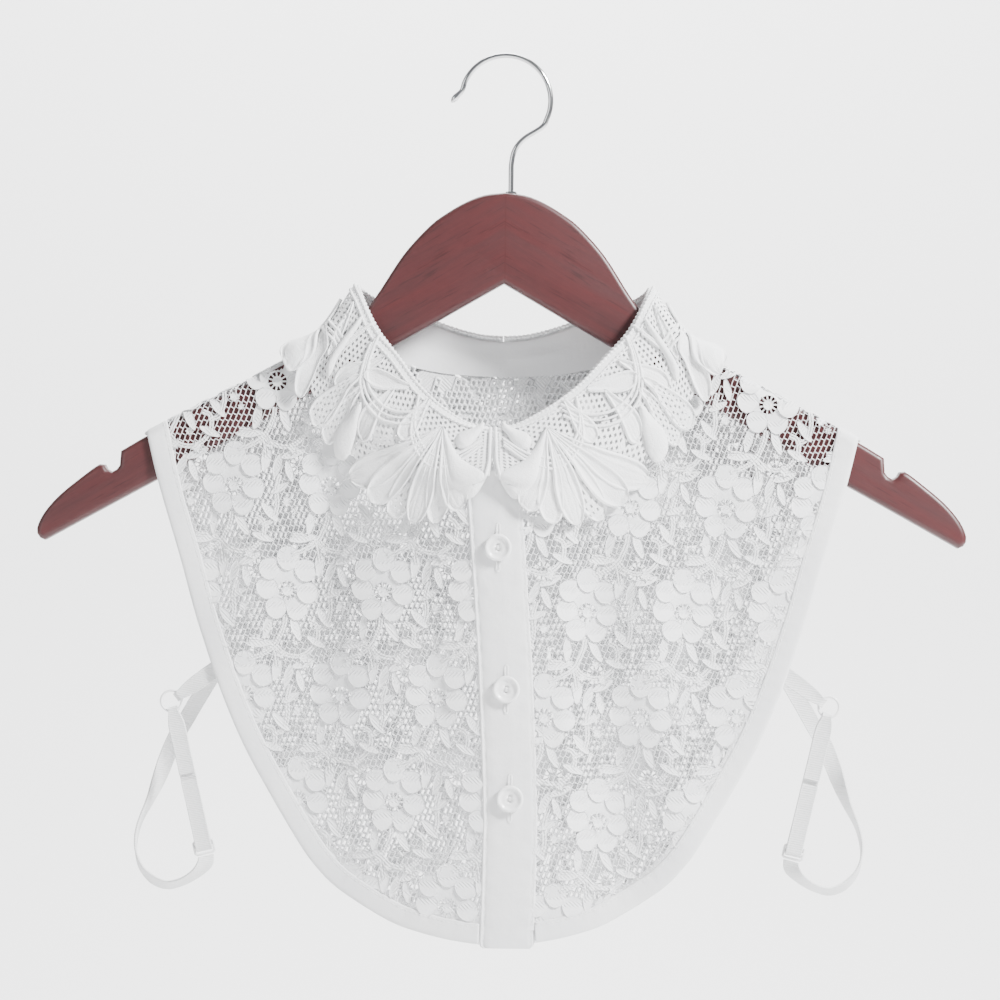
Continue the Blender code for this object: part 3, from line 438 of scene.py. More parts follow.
def at(table, place):
    """The row of an evenly spaced table at a place from 0 to 1."""
    f = min(max(place, 0.0), 1.0) * (len(table) - 1)
    i = min(int(f), len(table) - 2)
    return table[i] + (table[i + 1] - table[i]) * (f - i)


def cloth_top(x):
    """Height of the cloth where it runs over the wood."""
    reach = np.clip(np.abs(x), 76.0, SHOULDER_TIP_X + 2.0)
    return np.interp(reach, TOP_CURVE[:, 0], TOP_CURVE[:, 1]) + CLOTH_LIFT


def seam_height(x):
    return cloth_top(x) + SEAM_RISE


def placket_x(z):
    return np.interp(z, [row[0] for row in PLACKET_LINE], [row[1] for row in PLACKET_LINE])


def fold_relief(folds, x, z):
    """How far the soft folds push the cloth outwards."""
    out = np.zeros_like(x)
    for x_top, z_top, x_bottom, z_bottom, half_width, height in folds:
        t = (z - z_top) / (z_bottom - z_top)
        middle = x_top + (x_bottom - x_top) * t
        fade = smooth((t + 0.25) / 0.5) * smooth((1.1 - t) / 0.35)
        out += height * fade * np.exp(-(((x - middle) / half_width) ** 2))
    return out


def front_depth(x, z, down):
    reach = 8.6 + 8.6 * np.clip((z + 424.0) / 226.0, 0.0, 1.1)
    bulge = reach * np.exp(-(((x - placket_x(z)) / 58.0) ** 2)) * smooth((down - 9.0) / 28.0)
    return PANEL_FACE + 4.0 * smooth((down - 9.0) / 60.0) + bulge + fold_relief(FRONT_FOLDS, x, z)


def back_depth(x, z, down):
    reach = 4.0 + 11.0 * np.clip((z + 424.0) / 270.0, 0.0, 1.0)
    bulge = reach * np.exp(-((x / 60.0) ** 2)) * smooth((down - 9.0) / 18.0)
    return PANEL_FACE + 3.0 * smooth((down - 9.0) / 60.0) + bulge + fold_relief(BACK_FOLDS, x, z)


def cloth_points(x, run, front):
    """Points of the cloth at x and a run down from the shoulder seam, as rows x, y, z."""
    top = cloth_top(x)
    turn = np.clip((run - LEVEL_RUN) / BEND_RADIUS, 0.0, math.pi / 2)
    y = 0.15 + np.minimum(run, LEVEL_RUN) + BEND_RADIUS * np.sin(turn)
    z = top - BEND_RADIUS * (1.0 - np.cos(turn))
    hangs = run > LEVEL_RUN + BEND_ARC
    z = np.where(hangs, top + SEAM_RISE - run, z)
    depth = front_depth(x, z, run) if front else back_depth(x, z, run)
    y = np.where(hangs, depth, y)
    return np.stack([x, -y if front else y, z], axis=1)


def seat_all(x, z, front, lift):
    """Where points of the cloth laid flat, at x and z, come to lie, moved out from the cloth by lift."""
    run = np.maximum(seam_height(x) - z, 0.0)
    firm = np.maximum(run, 0.7)
    along = cloth_points(x + 0.6, firm, front) - cloth_points(x - 0.6, firm, front)
    fall = cloth_points(x, firm + 0.6, front) - cloth_points(x, firm - 0.6, front)
    out = np.cross(along, fall)
    out /= np.linalg.norm(out, axis=1)[:, None]
    out *= np.where(out @ np.array([0.0, -1.0 if front else 1.0, 1.0]) > 0, 1.0, -1.0)[:, None]
    return cloth_points(x, run, front) + out * np.reshape(lift, (-1, 1))


def seat(x, z, front, lift=0.0):
    return Vector(seat_all(np.array([float(x)]), np.array([float(z)]), front, [lift])[0])


def lifted(x, down, lift):
    """A point lifted from the cloth; down is positive in front of the shoulder seam, negative behind."""
    return seat(x, float(seam_height(x)) - abs(down), down >= 0, lift)


OUTLINE_CURVE = curve_through([(SHOULDER_TIP_X, seam_height(SHOULDER_TIP_X))] + list(OUTLINE), 240)
OUTLINE_LENGTH = float(np.sum(np.linalg.norm(np.diff(OUTLINE_CURVE, axis=0), axis=1)))
COLLAR_CURVE = curve_through(COLLAR, 161)
NECK_SKEW = -4.6


def outline_point(run, inset):
    """A point of the outline at a run from the shoulder seam, moved in by inset."""
    before = at(OUTLINE_CURVE, (run - 3.0) / OUTLINE_LENGTH)
    after = at(OUTLINE_CURVE, (run + 3.0) / OUTLINE_LENGTH)
    here = at(OUTLINE_CURVE, run / OUTLINE_LENGTH)
    way = (after - before) / np.linalg.norm(after - before)
    inward = np.array([way[1], -way[0]])
    if run > OUTLINE_LENGTH - 3.0:
        inward = np.array([0.0, 1.0])
    level = max(0.0, 1.0 - run / 40.0)
    inward = inward * (1.0 - level) + np.array([-1.0, 0.0]) * level
    moved = here + inward / np.linalg.norm(inward) * inset
    moved[1] += (seam_height(moved[0]) - seam_height(here[0])) * level
    return moved


def collar_row(along, side):
    """One section of the collar: foot and edge on the cloth (x, down), and the fold in space."""
    base_x, base_down, fold_x, fold_y, fold_z, edge_x, edge_down = at(COLLAR_CURVE, along)
    skew = NECK_SKEW * max(0.0, base_down / COLLAR[0][1]) ** 2
    fold = Vector((side * fold_x + skew, fold_y, fold_z))
    return (side * base_x + skew, base_down), fold, (side * edge_x + skew, edge_down)


def panel_outline(side, front, inset, tuck):
    """The cut edge of half a panel, laid flat: seam, neck, middle and hem."""
    tip = outline_point(0.0, inset)[0]
    seam = [(side * x, seam_height(x)) for x in np.linspace(tip, NECK_SIDE_X, 14)]
    neck, places = [], np.linspace(0.4375, 0.0, 40) if front else np.linspace(0.4375, 1.0, 40)
    for along in places:
        (x, down), _, _ = collar_row(along, side)
        neck.append((x, seam_height(x) - abs(down)))
    middle = []
    for z in np.linspace(neck[-1][1], outline_point(OUTLINE_LENGTH, inset)[1], 16):
        middle.append((placket_x(z) + side * (PLACKET_WIDTH / 2 - tuck) if front else -side * 0.5, z))
    neck = [p for p in neck if side * (p[0] - middle[0][0]) > 0.0]
    hem = [outline_point(run, inset) for run in np.linspace(OUTLINE_LENGTH, 0.0, 120)]
    hem = [(side * p[0], p[1]) for p in hem if side * (side * p[0] - middle[-1][0]) > 0.0]
    return np.array(seam + neck + middle + hem)


def within(points, loop):
    """Which points of a table lie inside a closed loop."""
    x, z = points[:, 0][:, None], points[:, 1][:, None]
    x1, z1 = loop[:, 0][None, :], loop[:, 1][None, :]
    x2, z2 = np.roll(loop[:, 0], -1)[None, :], np.roll(loop[:, 1], -1)[None, :]
    crosses = ((z1 > z) != (z2 > z)) & (x < (x2 - x1) * (z - z1) / np.where(z2 == z1, 1e-9, z2 - z1) + x1)
    return crosses.sum(axis=1) % 2 == 1


# One repeat of the embroidery: every shape lies in a box 46 by 50 mm round the flower's middle
REPEAT_X = 46.0
REPEAT_Z = 50.0
PETALS = (
    # x, z, half_width, half_height, turn
    (0.2, 15.0, 5.4, 5.9, 0.0),
    (8.6, 9.2, 5.3, 5.6, -40.0),
    (9.6, -1.6, 5.2, 5.2, -80.0),
    (4.6, -9.4, 4.9, 5.4, 25.0),
    (-5.4, -8.8, 5.0, 5.3, -20.0),
    (-9.8, 0.6, 5.2, 5.2, 70.0),
    (-8.4, 10.0, 5.2, 5.5, 35.0),
)
LEAVES = (
    # x, z, half_width, half_length, turn
    (-13.0, -25.6, 2.7, 7.0, 82.0),
    (-9.4, -17.6, 2.6, 6.6, 8.0),
    (4.0, -18.4, 2.8, 6.8, -24.0),
    (-4.6, -37.0, 3.0, 7.4, 6.0),
    (17.4, -13.2, 2.7, 6.2, -38.0),
    (14.0, -25.0, 2.4, 5.6, -66.0),
    (20.6, 9.0, 2.5, 6.0, 20.0),
    (-19.6, 6.4, 2.4, 5.6, -16.0),
    (8.0, -35.4, 2.6, 6.0, 66.0),
    (21.8, -1.8, 2.2, 5.0, 64.0),
)
STEMS = (
    # points x, z of a paired stem
    ((-1.0, -13.0), (-1.6, -17.5), (-3.6, -22.5), (-6.4, -27.4), (-12.0, -31.0), (-18.0, -33.4)),
    ((-5.6, -26.6), (-1.6, -30.6), (4.8, -32.0), (10.6, -29.4), (14.4, -23.6), (14.0, -17.4), (10.4, -15.2)),
    ((-6.4, -27.4), (-5.2, -31.2), (-4.4, -37.5)),
    ((13.6, -19.4), (18.4, -17.0), (20.6, -10.2), (20.2, -2.0), (21.8, 4.6)),
    ((-6.4, -27.4), (-12.4, -24.6), (-18.0, -24.0)),
)
BUDS = (
    # x, z, radius
    (-18.0, 17.4, 3.1),
    (17.6, 19.0, 2.8),
    (-20.6, -8.2, 2.9),
    (4.2, -24.8, 2.3),
    (-17.2, -12.8, 1.9),
)
BAR_COUNT = 11


def turned(x, z, angle, middle):
    """A point turned clockwise by an angle in degrees and moved to a middle."""
    a = math.radians(angle)
    return (
        middle[0] + x * math.cos(a) + z * math.sin(a),
        middle[1] - x * math.sin(a) + z * math.cos(a),
    )


# The y of a flat shape is how far it stands up from the net; this is added when it is seated
def add_plate(bm, middle, half_width, half_height, angle, kind, rise, corded):
    """A stitched shape with a raised outline: a round petal, an almond leaf or a spiky bud."""
    segments = {"petal": 15, "leaf": 14, "bud": 24, "disc": 12}[kind]
    made = bmesh.ops.create_circle(bm, cap_ends=True, segments=segments, radius=1.0)
    face = made["verts"][0].link_faces[0]
    for v in made["verts"]:
        angle_here = math.atan2(v.co.y, v.co.x)
        reach = 1.0
        if kind == "leaf":
            reach = 1.0 - 0.34 * (1.0 - math.cos(2.0 * angle_here)) * (1.0 - abs(math.sin(angle_here)))
            reach *= 0.80 + 0.20 * abs(math.sin(angle_here)) ** 3
        if kind == "bud":
            reach = 1.0 if (round(angle_here / math.tau * 24) % 3) == 0 else 0.62
        if kind == "petal":
            reach = 1.0 + 0.035 * math.sin(3.0 * angle_here + middle[0])
        x, z = v.co.x * reach * half_width, v.co.y * reach * half_height
        x, z = turned(x, z, angle, middle)
        v.co = (x, rise, z)
    if corded:
        bmesh.ops.inset_region(bm, faces=[face], thickness=0.34, depth=0.0, use_boundary=True)
        rim = list(face.verts)
        for v in rim:
            v.co.y += 0.30
        for step in (0.34, 0.2):
            bmesh.ops.inset_region(bm, faces=[face], thickness=step, depth=0.0, use_boundary=True)
            for v in face.verts:
                v.co.y -= 0.28 if step > 0.3 else 0.0
    bmesh.ops.triangulate(bm, faces=[face])


def add_ribbon(bm, points, width, rise, offset=0.0):
    """A narrow stitched band along flat points, x and z, a little domed."""
    line = curve_through(points, max(4, int(6 * len(points))))
    made = bmesh.ops.create_grid(bm, x_segments=len(line) - 1, y_segments=2, size=1.0)
    for v in made["verts"]:
        k = round((v.co.x + 1.0) / 2.0 * (len(line) - 1))
        side = v.co.y
        way = line[min(k + 1, len(line) - 1)] - line[max(k - 1, 0)]
        way = way / np.linalg.norm(way)
        reach = offset + side * width / 2
        x, z = line[k][0] - way[1] * reach, line[k][1] + way[0] * reach
        v.co = (x, rise + (0.3 if abs(side) < 0.5 else 0.0), z)


def add_flower(bm, middle, corded):
    """Seven round petals round a pierced ring, with a small disc at its heart."""
    for k, (x, z, half_width, half_height, angle) in enumerate(PETALS):
        place = (middle[0] + x, middle[1] + z)
        add_plate(bm, place, half_width, half_height, angle, "petal", 0.30 + 0.06 * (k % 3), corded)
    outer = bmesh.ops.create_circle(bm, segments=22, radius=1.0)["verts"]
    inner = bmesh.ops.create_circle(bm, segments=22, radius=1.0)["verts"]
    edges = list({e for v in outer + inner for e in v.link_edges})
    for v in outer:
        v.co = (middle[0] + v.co.x * 8.6, 0.16, middle[1] + 2.6 + v.co.y * 10.4)
    for v in inner:
        v.co = (middle[0] + v.co.x * 4.5, 0.2, middle[1] - 0.6 + v.co.y * 4.5)
    bmesh.ops.bridge_loops(bm, edges=edges)
    add_plate(bm, (middle[0], middle[1] - 0.6), 2.5, 2.6, 0.0, "disc", 0.35, corded)
    for k in range(BAR_COUNT):
        angle = math.tau * k / BAR_COUNT
        near = (middle[0] + 2.1 * math.cos(angle), middle[1] - 0.6 + 2.1 * math.sin(angle))
        far = (middle[0] + 4.9 * math.cos(angle), middle[1] - 0.6 + 4.9 * math.sin(angle))
        add_ribbon(bm, (near, far), 0.75, 0.2)


def covers(points, middle, half_width, half_height, angle, share):
    """Which points lie under a stitched oval."""
    a = math.radians(angle)
    x, z = points[:, 0] - middle[0], points[:, 1] - middle[1]
    u = (x * math.cos(a) - z * math.sin(a)) / half_width
    v = (x * math.sin(a) + z * math.cos(a)) / half_height
    return u * u + v * v < share * share


MESH_WIDTH = 2.5
MESH_PITCH = 3.1
MESH_LEAN = -0.16


def net_over(loops, ovals, thread):
    """The net inside the loops, with its meshes left out under the stitched ovals."""
    low = np.min([loop.min(axis=0) for loop in loops], axis=0) - 2.0
    high = np.max([loop.max(axis=0) for loop in loops], axis=0) + 2.0
    columns = int((high[0] - low[0]) / (MESH_WIDTH / 2))
    rows = int((high[1] - low[1]) / MESH_PITCH)
    bm = bmesh.new()
    bmesh.ops.create_grid(bm, x_segments=columns, y_segments=rows, size=1.0)
    spots = {}
    for v in bm.verts:
        i, j = round((v.co.x + 1.0) / 2.0 * columns), round((v.co.y + 1.0) / 2.0 * rows)
        spots[v] = (i, j)
        rise = 0.55 if (i + j) % 2 == 0 else -0.55
        x, z = low[0] + i * MESH_WIDTH / 2, low[1] + j * MESH_PITCH + rise
        x += MESH_LEAN * rise * 4.0 + 0.34 * math.sin(z * 0.21 + x * 0.05)
        z += 0.36 * math.sin(x * 0.17 + z * 0.04)
        v.co = (x, 0.0, z)
    spare = []
    for edge in bm.edges:
        (i, j), (other_i, other_j) = spots[edge.verts[0]], spots[edge.verts[1]]
        if i == other_i and (i + min(j, other_j)) % 2 == 1:
            spare.append(edge)
    bmesh.ops.dissolve_edges(bm, edges=spare, use_verts=False)
    faces = bm.faces[:]
    centres = np.array([f.calc_center_median() for f in faces])[:, (0, 2)]
    kept = np.any([within(centres, loop) for loop in loops], axis=0)
    for middle, half_width, half_height, angle in ovals:
        kept &= ~covers(centres, middle, half_width, half_height, angle, 0.86)
    bmesh.ops.delete(bm, geom=[f for f, keep in zip(faces, kept) if not keep], context="FACES")
    bmesh.ops.wireframe(
        bm, faces=bm.faces[:], thickness=thread, offset=0.0, use_replace=True, use_boundary=True,
        use_even_offset=True, use_crease=False, use_relative_offset=False, material_offset=0,
    )
    return bm


def tables_of(bm):
    """The points and faces of a mesh as tables, so that copies of it can be laid out in numbers."""
    bm.verts.index_update()
    points = np.array([v.co for v in bm.verts])
    faces = [[v.index for v in f.verts] for f in bm.faces]
    bm.free()
    return points, faces


def one_repeat(lean, corded):
    """The stitched shapes of one repeat, each drawn in a mesh of its own, as tables."""
    drawn = []

    def draw(step, *words):
        bm = bmesh.new()
        step(bm, *words)
        drawn.append(tables_of(bm))

    draw(add_flower, (0.0, 0.0), corded)
    for x, z, half_width, half_height, angle in LEAVES:
        draw(add_plate, (x, z), half_width, half_height, angle + lean, "leaf", 0.3, corded)
    for points in STEMS:
        draw(add_ribbon, points, 1.0, 0.22, 0.62)
        draw(add_ribbon, points, 1.0, 0.26, -0.62)
    for x, z, radius in BUDS:
        draw(add_plate, (x, z), radius, radius * 1.1, lean * 4.0, "bud", 0.3, corded)
    return joined(drawn)


def joined(tables):
    """Several meshes' tables as one."""
    points, faces, count = [], [], 0
    for some_points, some_faces in tables:
        faces += [[index + count for index in face] for face in some_faces]
        points.append(some_points)
        count += len(some_points)
    return np.vstack(points), faces


REPEATS = {
    # the fronts have a cord round each shape, and the back is plainer
    True: [one_repeat(lean, True) for lean in (-5.0, 0.0, 5.0)],
    False: [one_repeat(lean, False) for lean in (-5.0, 0.0, 5.0)],
}


def embroidery(loops, start, front):
    """The stitched shapes inside the loops, and the ovals that the net is left out of."""
    low = np.min([loop.min(axis=0) for loop in loops], axis=0)
    high = np.max([loop.max(axis=0) for loop in loops], axis=0)
    laid, ovals = [], []
    for row in range(-3, 8):
        for column in range(-8, 9):
            x = start[0] + column * REPEAT_X + row * 26.0
            z = start[1] - row * REPEAT_Z
            if not (low[0] - 26 < x < high[0] + 26 and low[1] - 26 < z < high[1] + 42):
                continue
            points, faces = REPEATS[front][(column + 2 * row) % 3]
            laid.append((points + np.array([x, 0.0, z]), faces))
            ovals.append(((x, z + 2.6), 8.6, 10.4, 0.0))
            for dx, dz, half_width, half_height, angle in PETALS + LEAVES:
                ovals.append(((x + dx, z + dz), half_width, half_height, angle))
            for dx, dz, radius in BUDS:
                ovals.append(((x + dx, z + dz), radius * 0.7, radius * 0.7, 0.0))
    points, faces = joined(laid)
    centres = np.array([points[face].mean(axis=0) for face in faces])[:, (0, 2)]
    kept = np.any([within(centres, loop) for loop in loops], axis=0)
    return (points, [face for face, keep in zip(faces, kept) if keep]), ovals


def add_tables(name, tables, material, replaced):
    """Adds a piece of the object from tables in millimetres."""
    points, faces = tables
    used = np.unique(np.concatenate([np.array(face) for face in faces]))
    place = np.full(len(points), -1)
    place[used] = np.arange(len(used))
    mesh = bpy.data.meshes.new(name)
    mesh.from_pydata(points[used] * MM, [], [place[face].tolist() for face in faces])
    mesh.shade_smooth()
    obj = bpy.data.objects.new(name, mesh)
    mesh.materials.append(material)
    bpy.context.scene.collection.objects.link(obj)
    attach(obj, "root")
    if replaced:
        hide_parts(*replaced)
    return obj


lace_thread, lace_shader, lace_place = new_material(
    "lace_thread", (0.90, 0.90, 0.90), 0.78
)
crossed = ((lace_place.part(0) + lace_place.part(2)) * 3300.0).maths("SINE")
parted = ((lace_place.part(0) - lace_place.part(2)) * 3300.0).maths("SINE")
lean = lace_place.noise(38.0, 1.0).ramp(0.47, 0.53, 0.0, 1.0)
hatch = crossed * lean + parted * (1.0 - lean)
stand_up = lace_place.node("ShaderNodeAttribute", {"attribute_name": "stand_up"}, {}, 2)
cord = stand_up.ramp(0.45, 0.58, 0.0, 1.0)
fill = stand_up.ramp(0.24, 0.29, 0.0, 1.0) * (1.0 - cord)
twist = lace_place.scaled(1.0, 0.4, 1.0).noise(900.0, 1.0)
raise_surface(lace_shader, hatch * fill * 0.5 + twist * 0.6, 0.00030, 0.8)
tint = lace_place.noise(30.0, 1.0).ramp(0.35, 0.65, 0.0, 1.0)
thread_tone_and_net_shade = tint.mix((0.88, 0.885, 0.895, 1.0), (0.93, 0.93, 0.93, 1.0))
# Painted shade: inside the corded shapes the colour darkens towards 0.70 in the grooves between the diagonal stitch
# rows.
fill_groove_shade = fill * hatch.ramp(-0.6, 0.8, 0.75, 0.0)
# Painted shade: the net's threads, standing less than 0.24 mm off the cloth, are darkened to a grey of 0.79 against the
# stitched shapes.
thread_tone_and_net_shade = stand_up.ramp(0.24, 0.29, 1.0, 0.0).mix(thread_tone_and_net_shade, (0.79, 0.795, 0.805, 1.0))
feed(lace_shader, "Base Color", fill_groove_shade.mix(thread_tone_and_net_shade, (0.70, 0.705, 0.715, 1.0)))
feed(lace_shader, "Roughness", cord.ramp(0.0, 1.0, 0.82, 0.62))

LACE_PANELS = (
    # name, node, sides, front, start of the repeat, width and length of the cut
    ("lace_front_left", "front_panel_left", (-1,), True, (-128.0, -206.0), 0.165, 0.275),
    ("lace_front_right", "front_panel_right", (1,), True, (107.0, -215.0), 0.165, 0.275),
    ("lace_back", "back_panel", (-1, 1), False, (-6.0, -196.0), 0.33, 0.29),
)
panel_objects = {}
for name, node, sides, front, start, flat_width, flat_length in LACE_PANELS:
    cut = [panel_outline(side, front, BINDING_WIDTH - 1.5, 1.5) for side in sides]
    tucked = [panel_outline(side, front, BINDING_WIDTH - 1.0, 0.4) for side in sides]
    shapes, ovals = embroidery(tucked, start, front)
    points, faces = joined([tables_of(net_over(cut, ovals, 0.44 if front else 1.3)), shapes])
    used = np.unique(np.concatenate([np.array(face) for face in faces]))
    hung = seat_all(points[:, 0], points[:, 2], front, points[:, 1])
    panel_objects[name] = add_tables(name, (hung, faces), lace_thread, [node])
    stand_up = panel_objects[name].data.attributes.new("stand_up", "FLOAT", "POINT")
    stand_up.data.foreach_set("value", points[used, 1])

# Binding: 10 mm white cotton tape folded over the cut side and hem of each panel, topstitched 1.6 mm
# from its inner edge.  It rounds over at the outer edge and puckers a little at the stitches.

STITCH_PITCH = 2.3
cotton, cotton_shader, cotton_place = new_material("cotton", (0.89, 0.89, 0.89), 0.86)


def threads_of(place, pitch):
    """The over and under of a plain weave, from two crossed waves."""
    turn = math.tau / pitch
    return (place.part(0) * turn).maths("SINE") * (place.part(2) * turn).maths("SINE")


weave = threads_of(cotton_place, 0.00052) * 0.5
slub = cotton_place.scaled(1.0, 1.0, 0.15).noise(700.0, 3.0) + cotton_place.scaled(0.15, 1.0, 1.0).noise(700.0, 3.0)
puckers = cotton_place.noise(95.0, 3.0, 0.6)
raise_surface(cotton_shader, weave * 0.3 + slub * 0.5 + puckers * 5.0, 0.0001, 0.8)
feed(cotton_shader, "Roughness", slub.ramp(0.7, 1.3, 0.8, 0.9))
tint = cotton_place.noise(22.0, 1.0).ramp(0.35, 0.65, 0.0, 1.0)
feed(cotton_shader, "Base Color", tint.mix((0.80, 0.805, 0.815, 1.0), (0.84, 0.84, 0.84, 1.0)))
stitch_thread, stitch_shader, stitch_place = new_material("stitch_thread", (0.93, 0.93, 0.93), 0.6)
feed(stitch_shader, "Roughness", stitch_place.noise(900.0).ramp(0.3, 0.7, 0.5, 0.7))


def add_strip(columns, rows, place):
    """A strip of points, place(column, row), as tables."""
    bm = bmesh.new()
    bmesh.ops.create_grid(bm, x_segments=columns, y_segments=rows, size=1.0)
    for v in bm.verts:
        v.co = place(round((v.co.x + 1.0) / 2.0 * columns), round((v.co.y + 1.0) / 2.0 * rows))
    return tables_of(bm)


def one_stitch():
    """A stitch lying along Y: a short thread, round in section, that dives at both ends."""
    bm = bmesh.new()
    bmesh.ops.create_uvsphere(bm, u_segments=6, v_segments=5, radius=1.0)
    bmesh.ops.scale(bm, vec=(0.21, 0.17, 0.82), verts=bm.verts[:])
    return tables_of(bm)


STITCH = one_stitch()


def sew(line, front, lift, start=0.0):
    """Stitches along flat points, x and z, as tables on the hanging cloth."""
    run = np.concatenate([[0.0], np.cumsum(np.linalg.norm(np.diff(line, axis=0), axis=1))])
    spots = np.arange(start + STITCH_PITCH / 2, run[-1], STITCH_PITCH)
    x, z = np.interp(spots, run, line[:, 0]), np.interp(spots, run, line[:, 1])
    ahead_x, ahead_z = np.interp(spots + 0.3, run, line[:, 0]), np.interp(spots + 0.3, run, line[:, 1])
    points, faces = STITCH
    sewn = []
    for k in range(len(spots)):
        way = np.array([ahead_x[k] - x[k], ahead_z[k] - z[k]])
        way /= max(np.linalg.norm(way), 1e-6)
        flat_x = x[k] + points[:, 0] * way[1] + points[:, 2] * way[0]
        flat_z = z[k] - points[:, 0] * way[0] + points[:, 2] * way[1]
        sewn.append((seat_all(flat_x, flat_z, front, lift + points[:, 1]), faces))
    return joined(sewn)


# How far the tape stands out, from its outer fold to its stitched edge, on the cloth's outside
TAPE_ACROSS = (0.0, 0.2, 0.7, 1.6, 3.0, 4.6, 6.2, 7.6, 8.4, 9.2, 9.8, 10.0)
TAPE_LIFT = (0.0, 0.52, 0.82, 0.98, 1.02, 0.98, 0.94, 0.86, 0.74, 0.84, 0.7, 0.3)
BINDINGS = (
    # name, node, sides, front
    ("tape_front_left", "binding_front_left", (-1,), True),
    ("tape_front_right", "binding_front_right", (1,), True),
    ("tape_back", "binding_back", (-1, 1), False),
)
tape_rows = 190
for name, node, sides, front in BINDINGS:
    drawn, seams = [], []
    for side in sides:
        runs = np.linspace(0.0, OUTLINE_LENGTH, tape_rows + 1)
        across = list(TAPE_ACROSS)
        layers = [(w, lift) for w, lift in zip(across, TAPE_LIFT)]
        layers = [(w, -lift) for w, lift in layers[:0:-1]] + layers
        flat_x, flat_z, lifts = [], [], []
        for w, lift in layers:
            for run in runs:
                x, z = outline_point(run, w)
                x *= side
                edge = float(placket_x(z)) + side * (PLACKET_WIDTH / 2 + 0.2)
                if front and side * x < side * edge:
                    x = edge
                flat_x.append(x)
                flat_z.append(z)
                ripple = 0.10 * math.sin(run * 0.9 + 1.3 * math.sin(run * 0.13)) * (1.0 if w > 6 else 0.3)
                lifts.append(lift + (ripple if lift > 0.3 else 0.0))
        spots = seat_all(np.array(flat_x), np.array(flat_z), front, np.array(lifts))
        grid = spots.reshape(len(layers), len(runs), 3)
        drawn.append(add_strip(len(layers) - 1, tape_rows, lambda column, row: grid[column][row]))
        seam = np.array([outline_point(run, 8.4) for run in np.linspace(1.0, OUTLINE_LENGTH - 1.0, 300)])
        seam[:, 0] *= side
        if front:
            edge = placket_x(seam[:, 1]) + side * (PLACKET_WIDTH / 2 + 0.6)
            seam = seam[side * seam[:, 0] > side * edge]
        seams.append(sew(seam, front, 0.86))
    tape = add_tables(name, joined(drawn), cotton, [node])
    add_tables(name + "_stitches", joined(seams), stitch_thread, ())

# Collar stand: a plain cotton band, 19 mm high, sewn round the neck edge of the lace.  It shows inside the
# neck behind the hanger, with the soft creases of a band that has been turned.

STAND_CREASES = (
    # middle along the band, share of its height, length, height, depth
    (0.70, 0.50, 0.050, 0.16, 0.7),
    (0.80, 0.36, 0.035, 0.12, -0.5),
    (0.91, 0.62, 0.060, 0.14, 0.8),
    (1.06, 0.55, 0.055, 0.12, -0.7),
    (1.12, 0.68, 0.045, 0.10, 0.6),
    (1.24, 0.40, 0.060, 0.16, 0.7),
    (1.33, 0.60, 0.030, 0.12, -0.5),
)


def stand_place(along, side):
    base, fold, _ = collar_row(along, side)
    foot = lifted(base[0], base[1], 0.0)
    rise = (fold - foot).normalized()
    return foot + rise * 1.0, fold, rise


def stand_out(along, side):
    """The direction from the neck outwards, square to the stand."""
    _, fold, rise = stand_place(along, side)
    ahead = stand_place(min(along + 0.01, 1.0), side)[1] - stand_place(max(along - 0.01, 0.0), side)[1]
    out = ahead.cross(rise).normalized()
    return out if out.dot(fold - Vector((0.0, 0.0, fold.z))) > 0 else -out


STAND_LAYERS = (
    # share of the height, out from the middle
    (0.00, -0.55),
    (0.12, -0.62),
    (0.24, -0.60),
    (0.36, -0.60),
    (0.48, -0.60),
    (0.60, -0.60),
    (0.72, -0.60),
    (0.84, -0.60),
    (0.95, -0.58),
    (1.00, -0.30),
    (1.01, 0.10),
    (1.00, 0.45),
    (0.90, 0.60),
    (0.50, 0.60),
    (0.00, 0.55),
)
ways = [(-1, a) for a in np.linspace(0.0, 1.0, 120)] + [(1, a) for a in np.linspace(1.0, 0.0, 120)[1:]]
stand_columns = []
for side, along in ways:
    foot, fold, _ = stand_place(along, side)
    out = stand_out(along, side)
    place = along if side < 0 else 2.0 - along
    column = []
    for share, offset in STAND_LAYERS:
        soft = 0.0
        for middle, height, length, tall, depth in STAND_CREASES:
            soft += depth * math.exp(-(((place - middle) / length) ** 2) - ((share - height) / tall) ** 2)
        column.append(foot + (fold - foot) * share + out * (offset + soft * min(1.0, 6.0 * (1.0 - share) + 0.1)))
    stand_columns.append(column)
drawn = add_strip(len(stand_columns) - 1, len(STAND_LAYERS) - 1, lambda i, j: stand_columns[i][j])
stand = add_tables("stand_band", drawn, cotton, ["collar_stand"])

# Guipure collar: two turned-down halves of thick chemical lace, embroidered on a ground that is then
# dissolved.  Each half has fans of ribbed petals with rolled cord edges, smooth satin lobes, pierced
# scallops and bands of cord, joined by a ground of small bars with larger windows left in it.


def fall_table(side):
    """The turned-down collar as sections from the fold to the edge, with its outward directions."""
    sections = []
    for k in range(161):
        along = k / 160
        base, fold, edge = collar_row(along, side)
        _, _, rise = stand_place(along, side)
        out = stand_out(along, side)
        base_flat, edge_flat = np.array(base), np.array(edge)
        stiff = 1.8 * math.exp(-((edge_flat[1] / 22.0) ** 2))
        knots = [fold + rise * 1.4, fold + rise * 1.2 + out * 1.6, fold - rise * 0.6 + out * 2.9]
        for share, lift in ((0.15, 5.5), (0.5, 4.2), (0.78, 3.6 + stiff), (1.0, 2.9 + stiff)):
            x, down = base_flat + (edge_flat - base_flat) * share
            knots.append(lifted(x, down, lift))
        sections.append(curve_through(knots, 81))
    points = np.array(sections)
    outward = np.cross(np.gradient(points, axis=0), np.gradient(points, axis=1))
    outward /= np.linalg.norm(outward, axis=2)[:, :, None]
    away = points[:, 40] * (1.0, 1.0, 0.0)
    if np.sum(outward[:, 40] * away) < 0:
        outward = -outward
    return points, outward


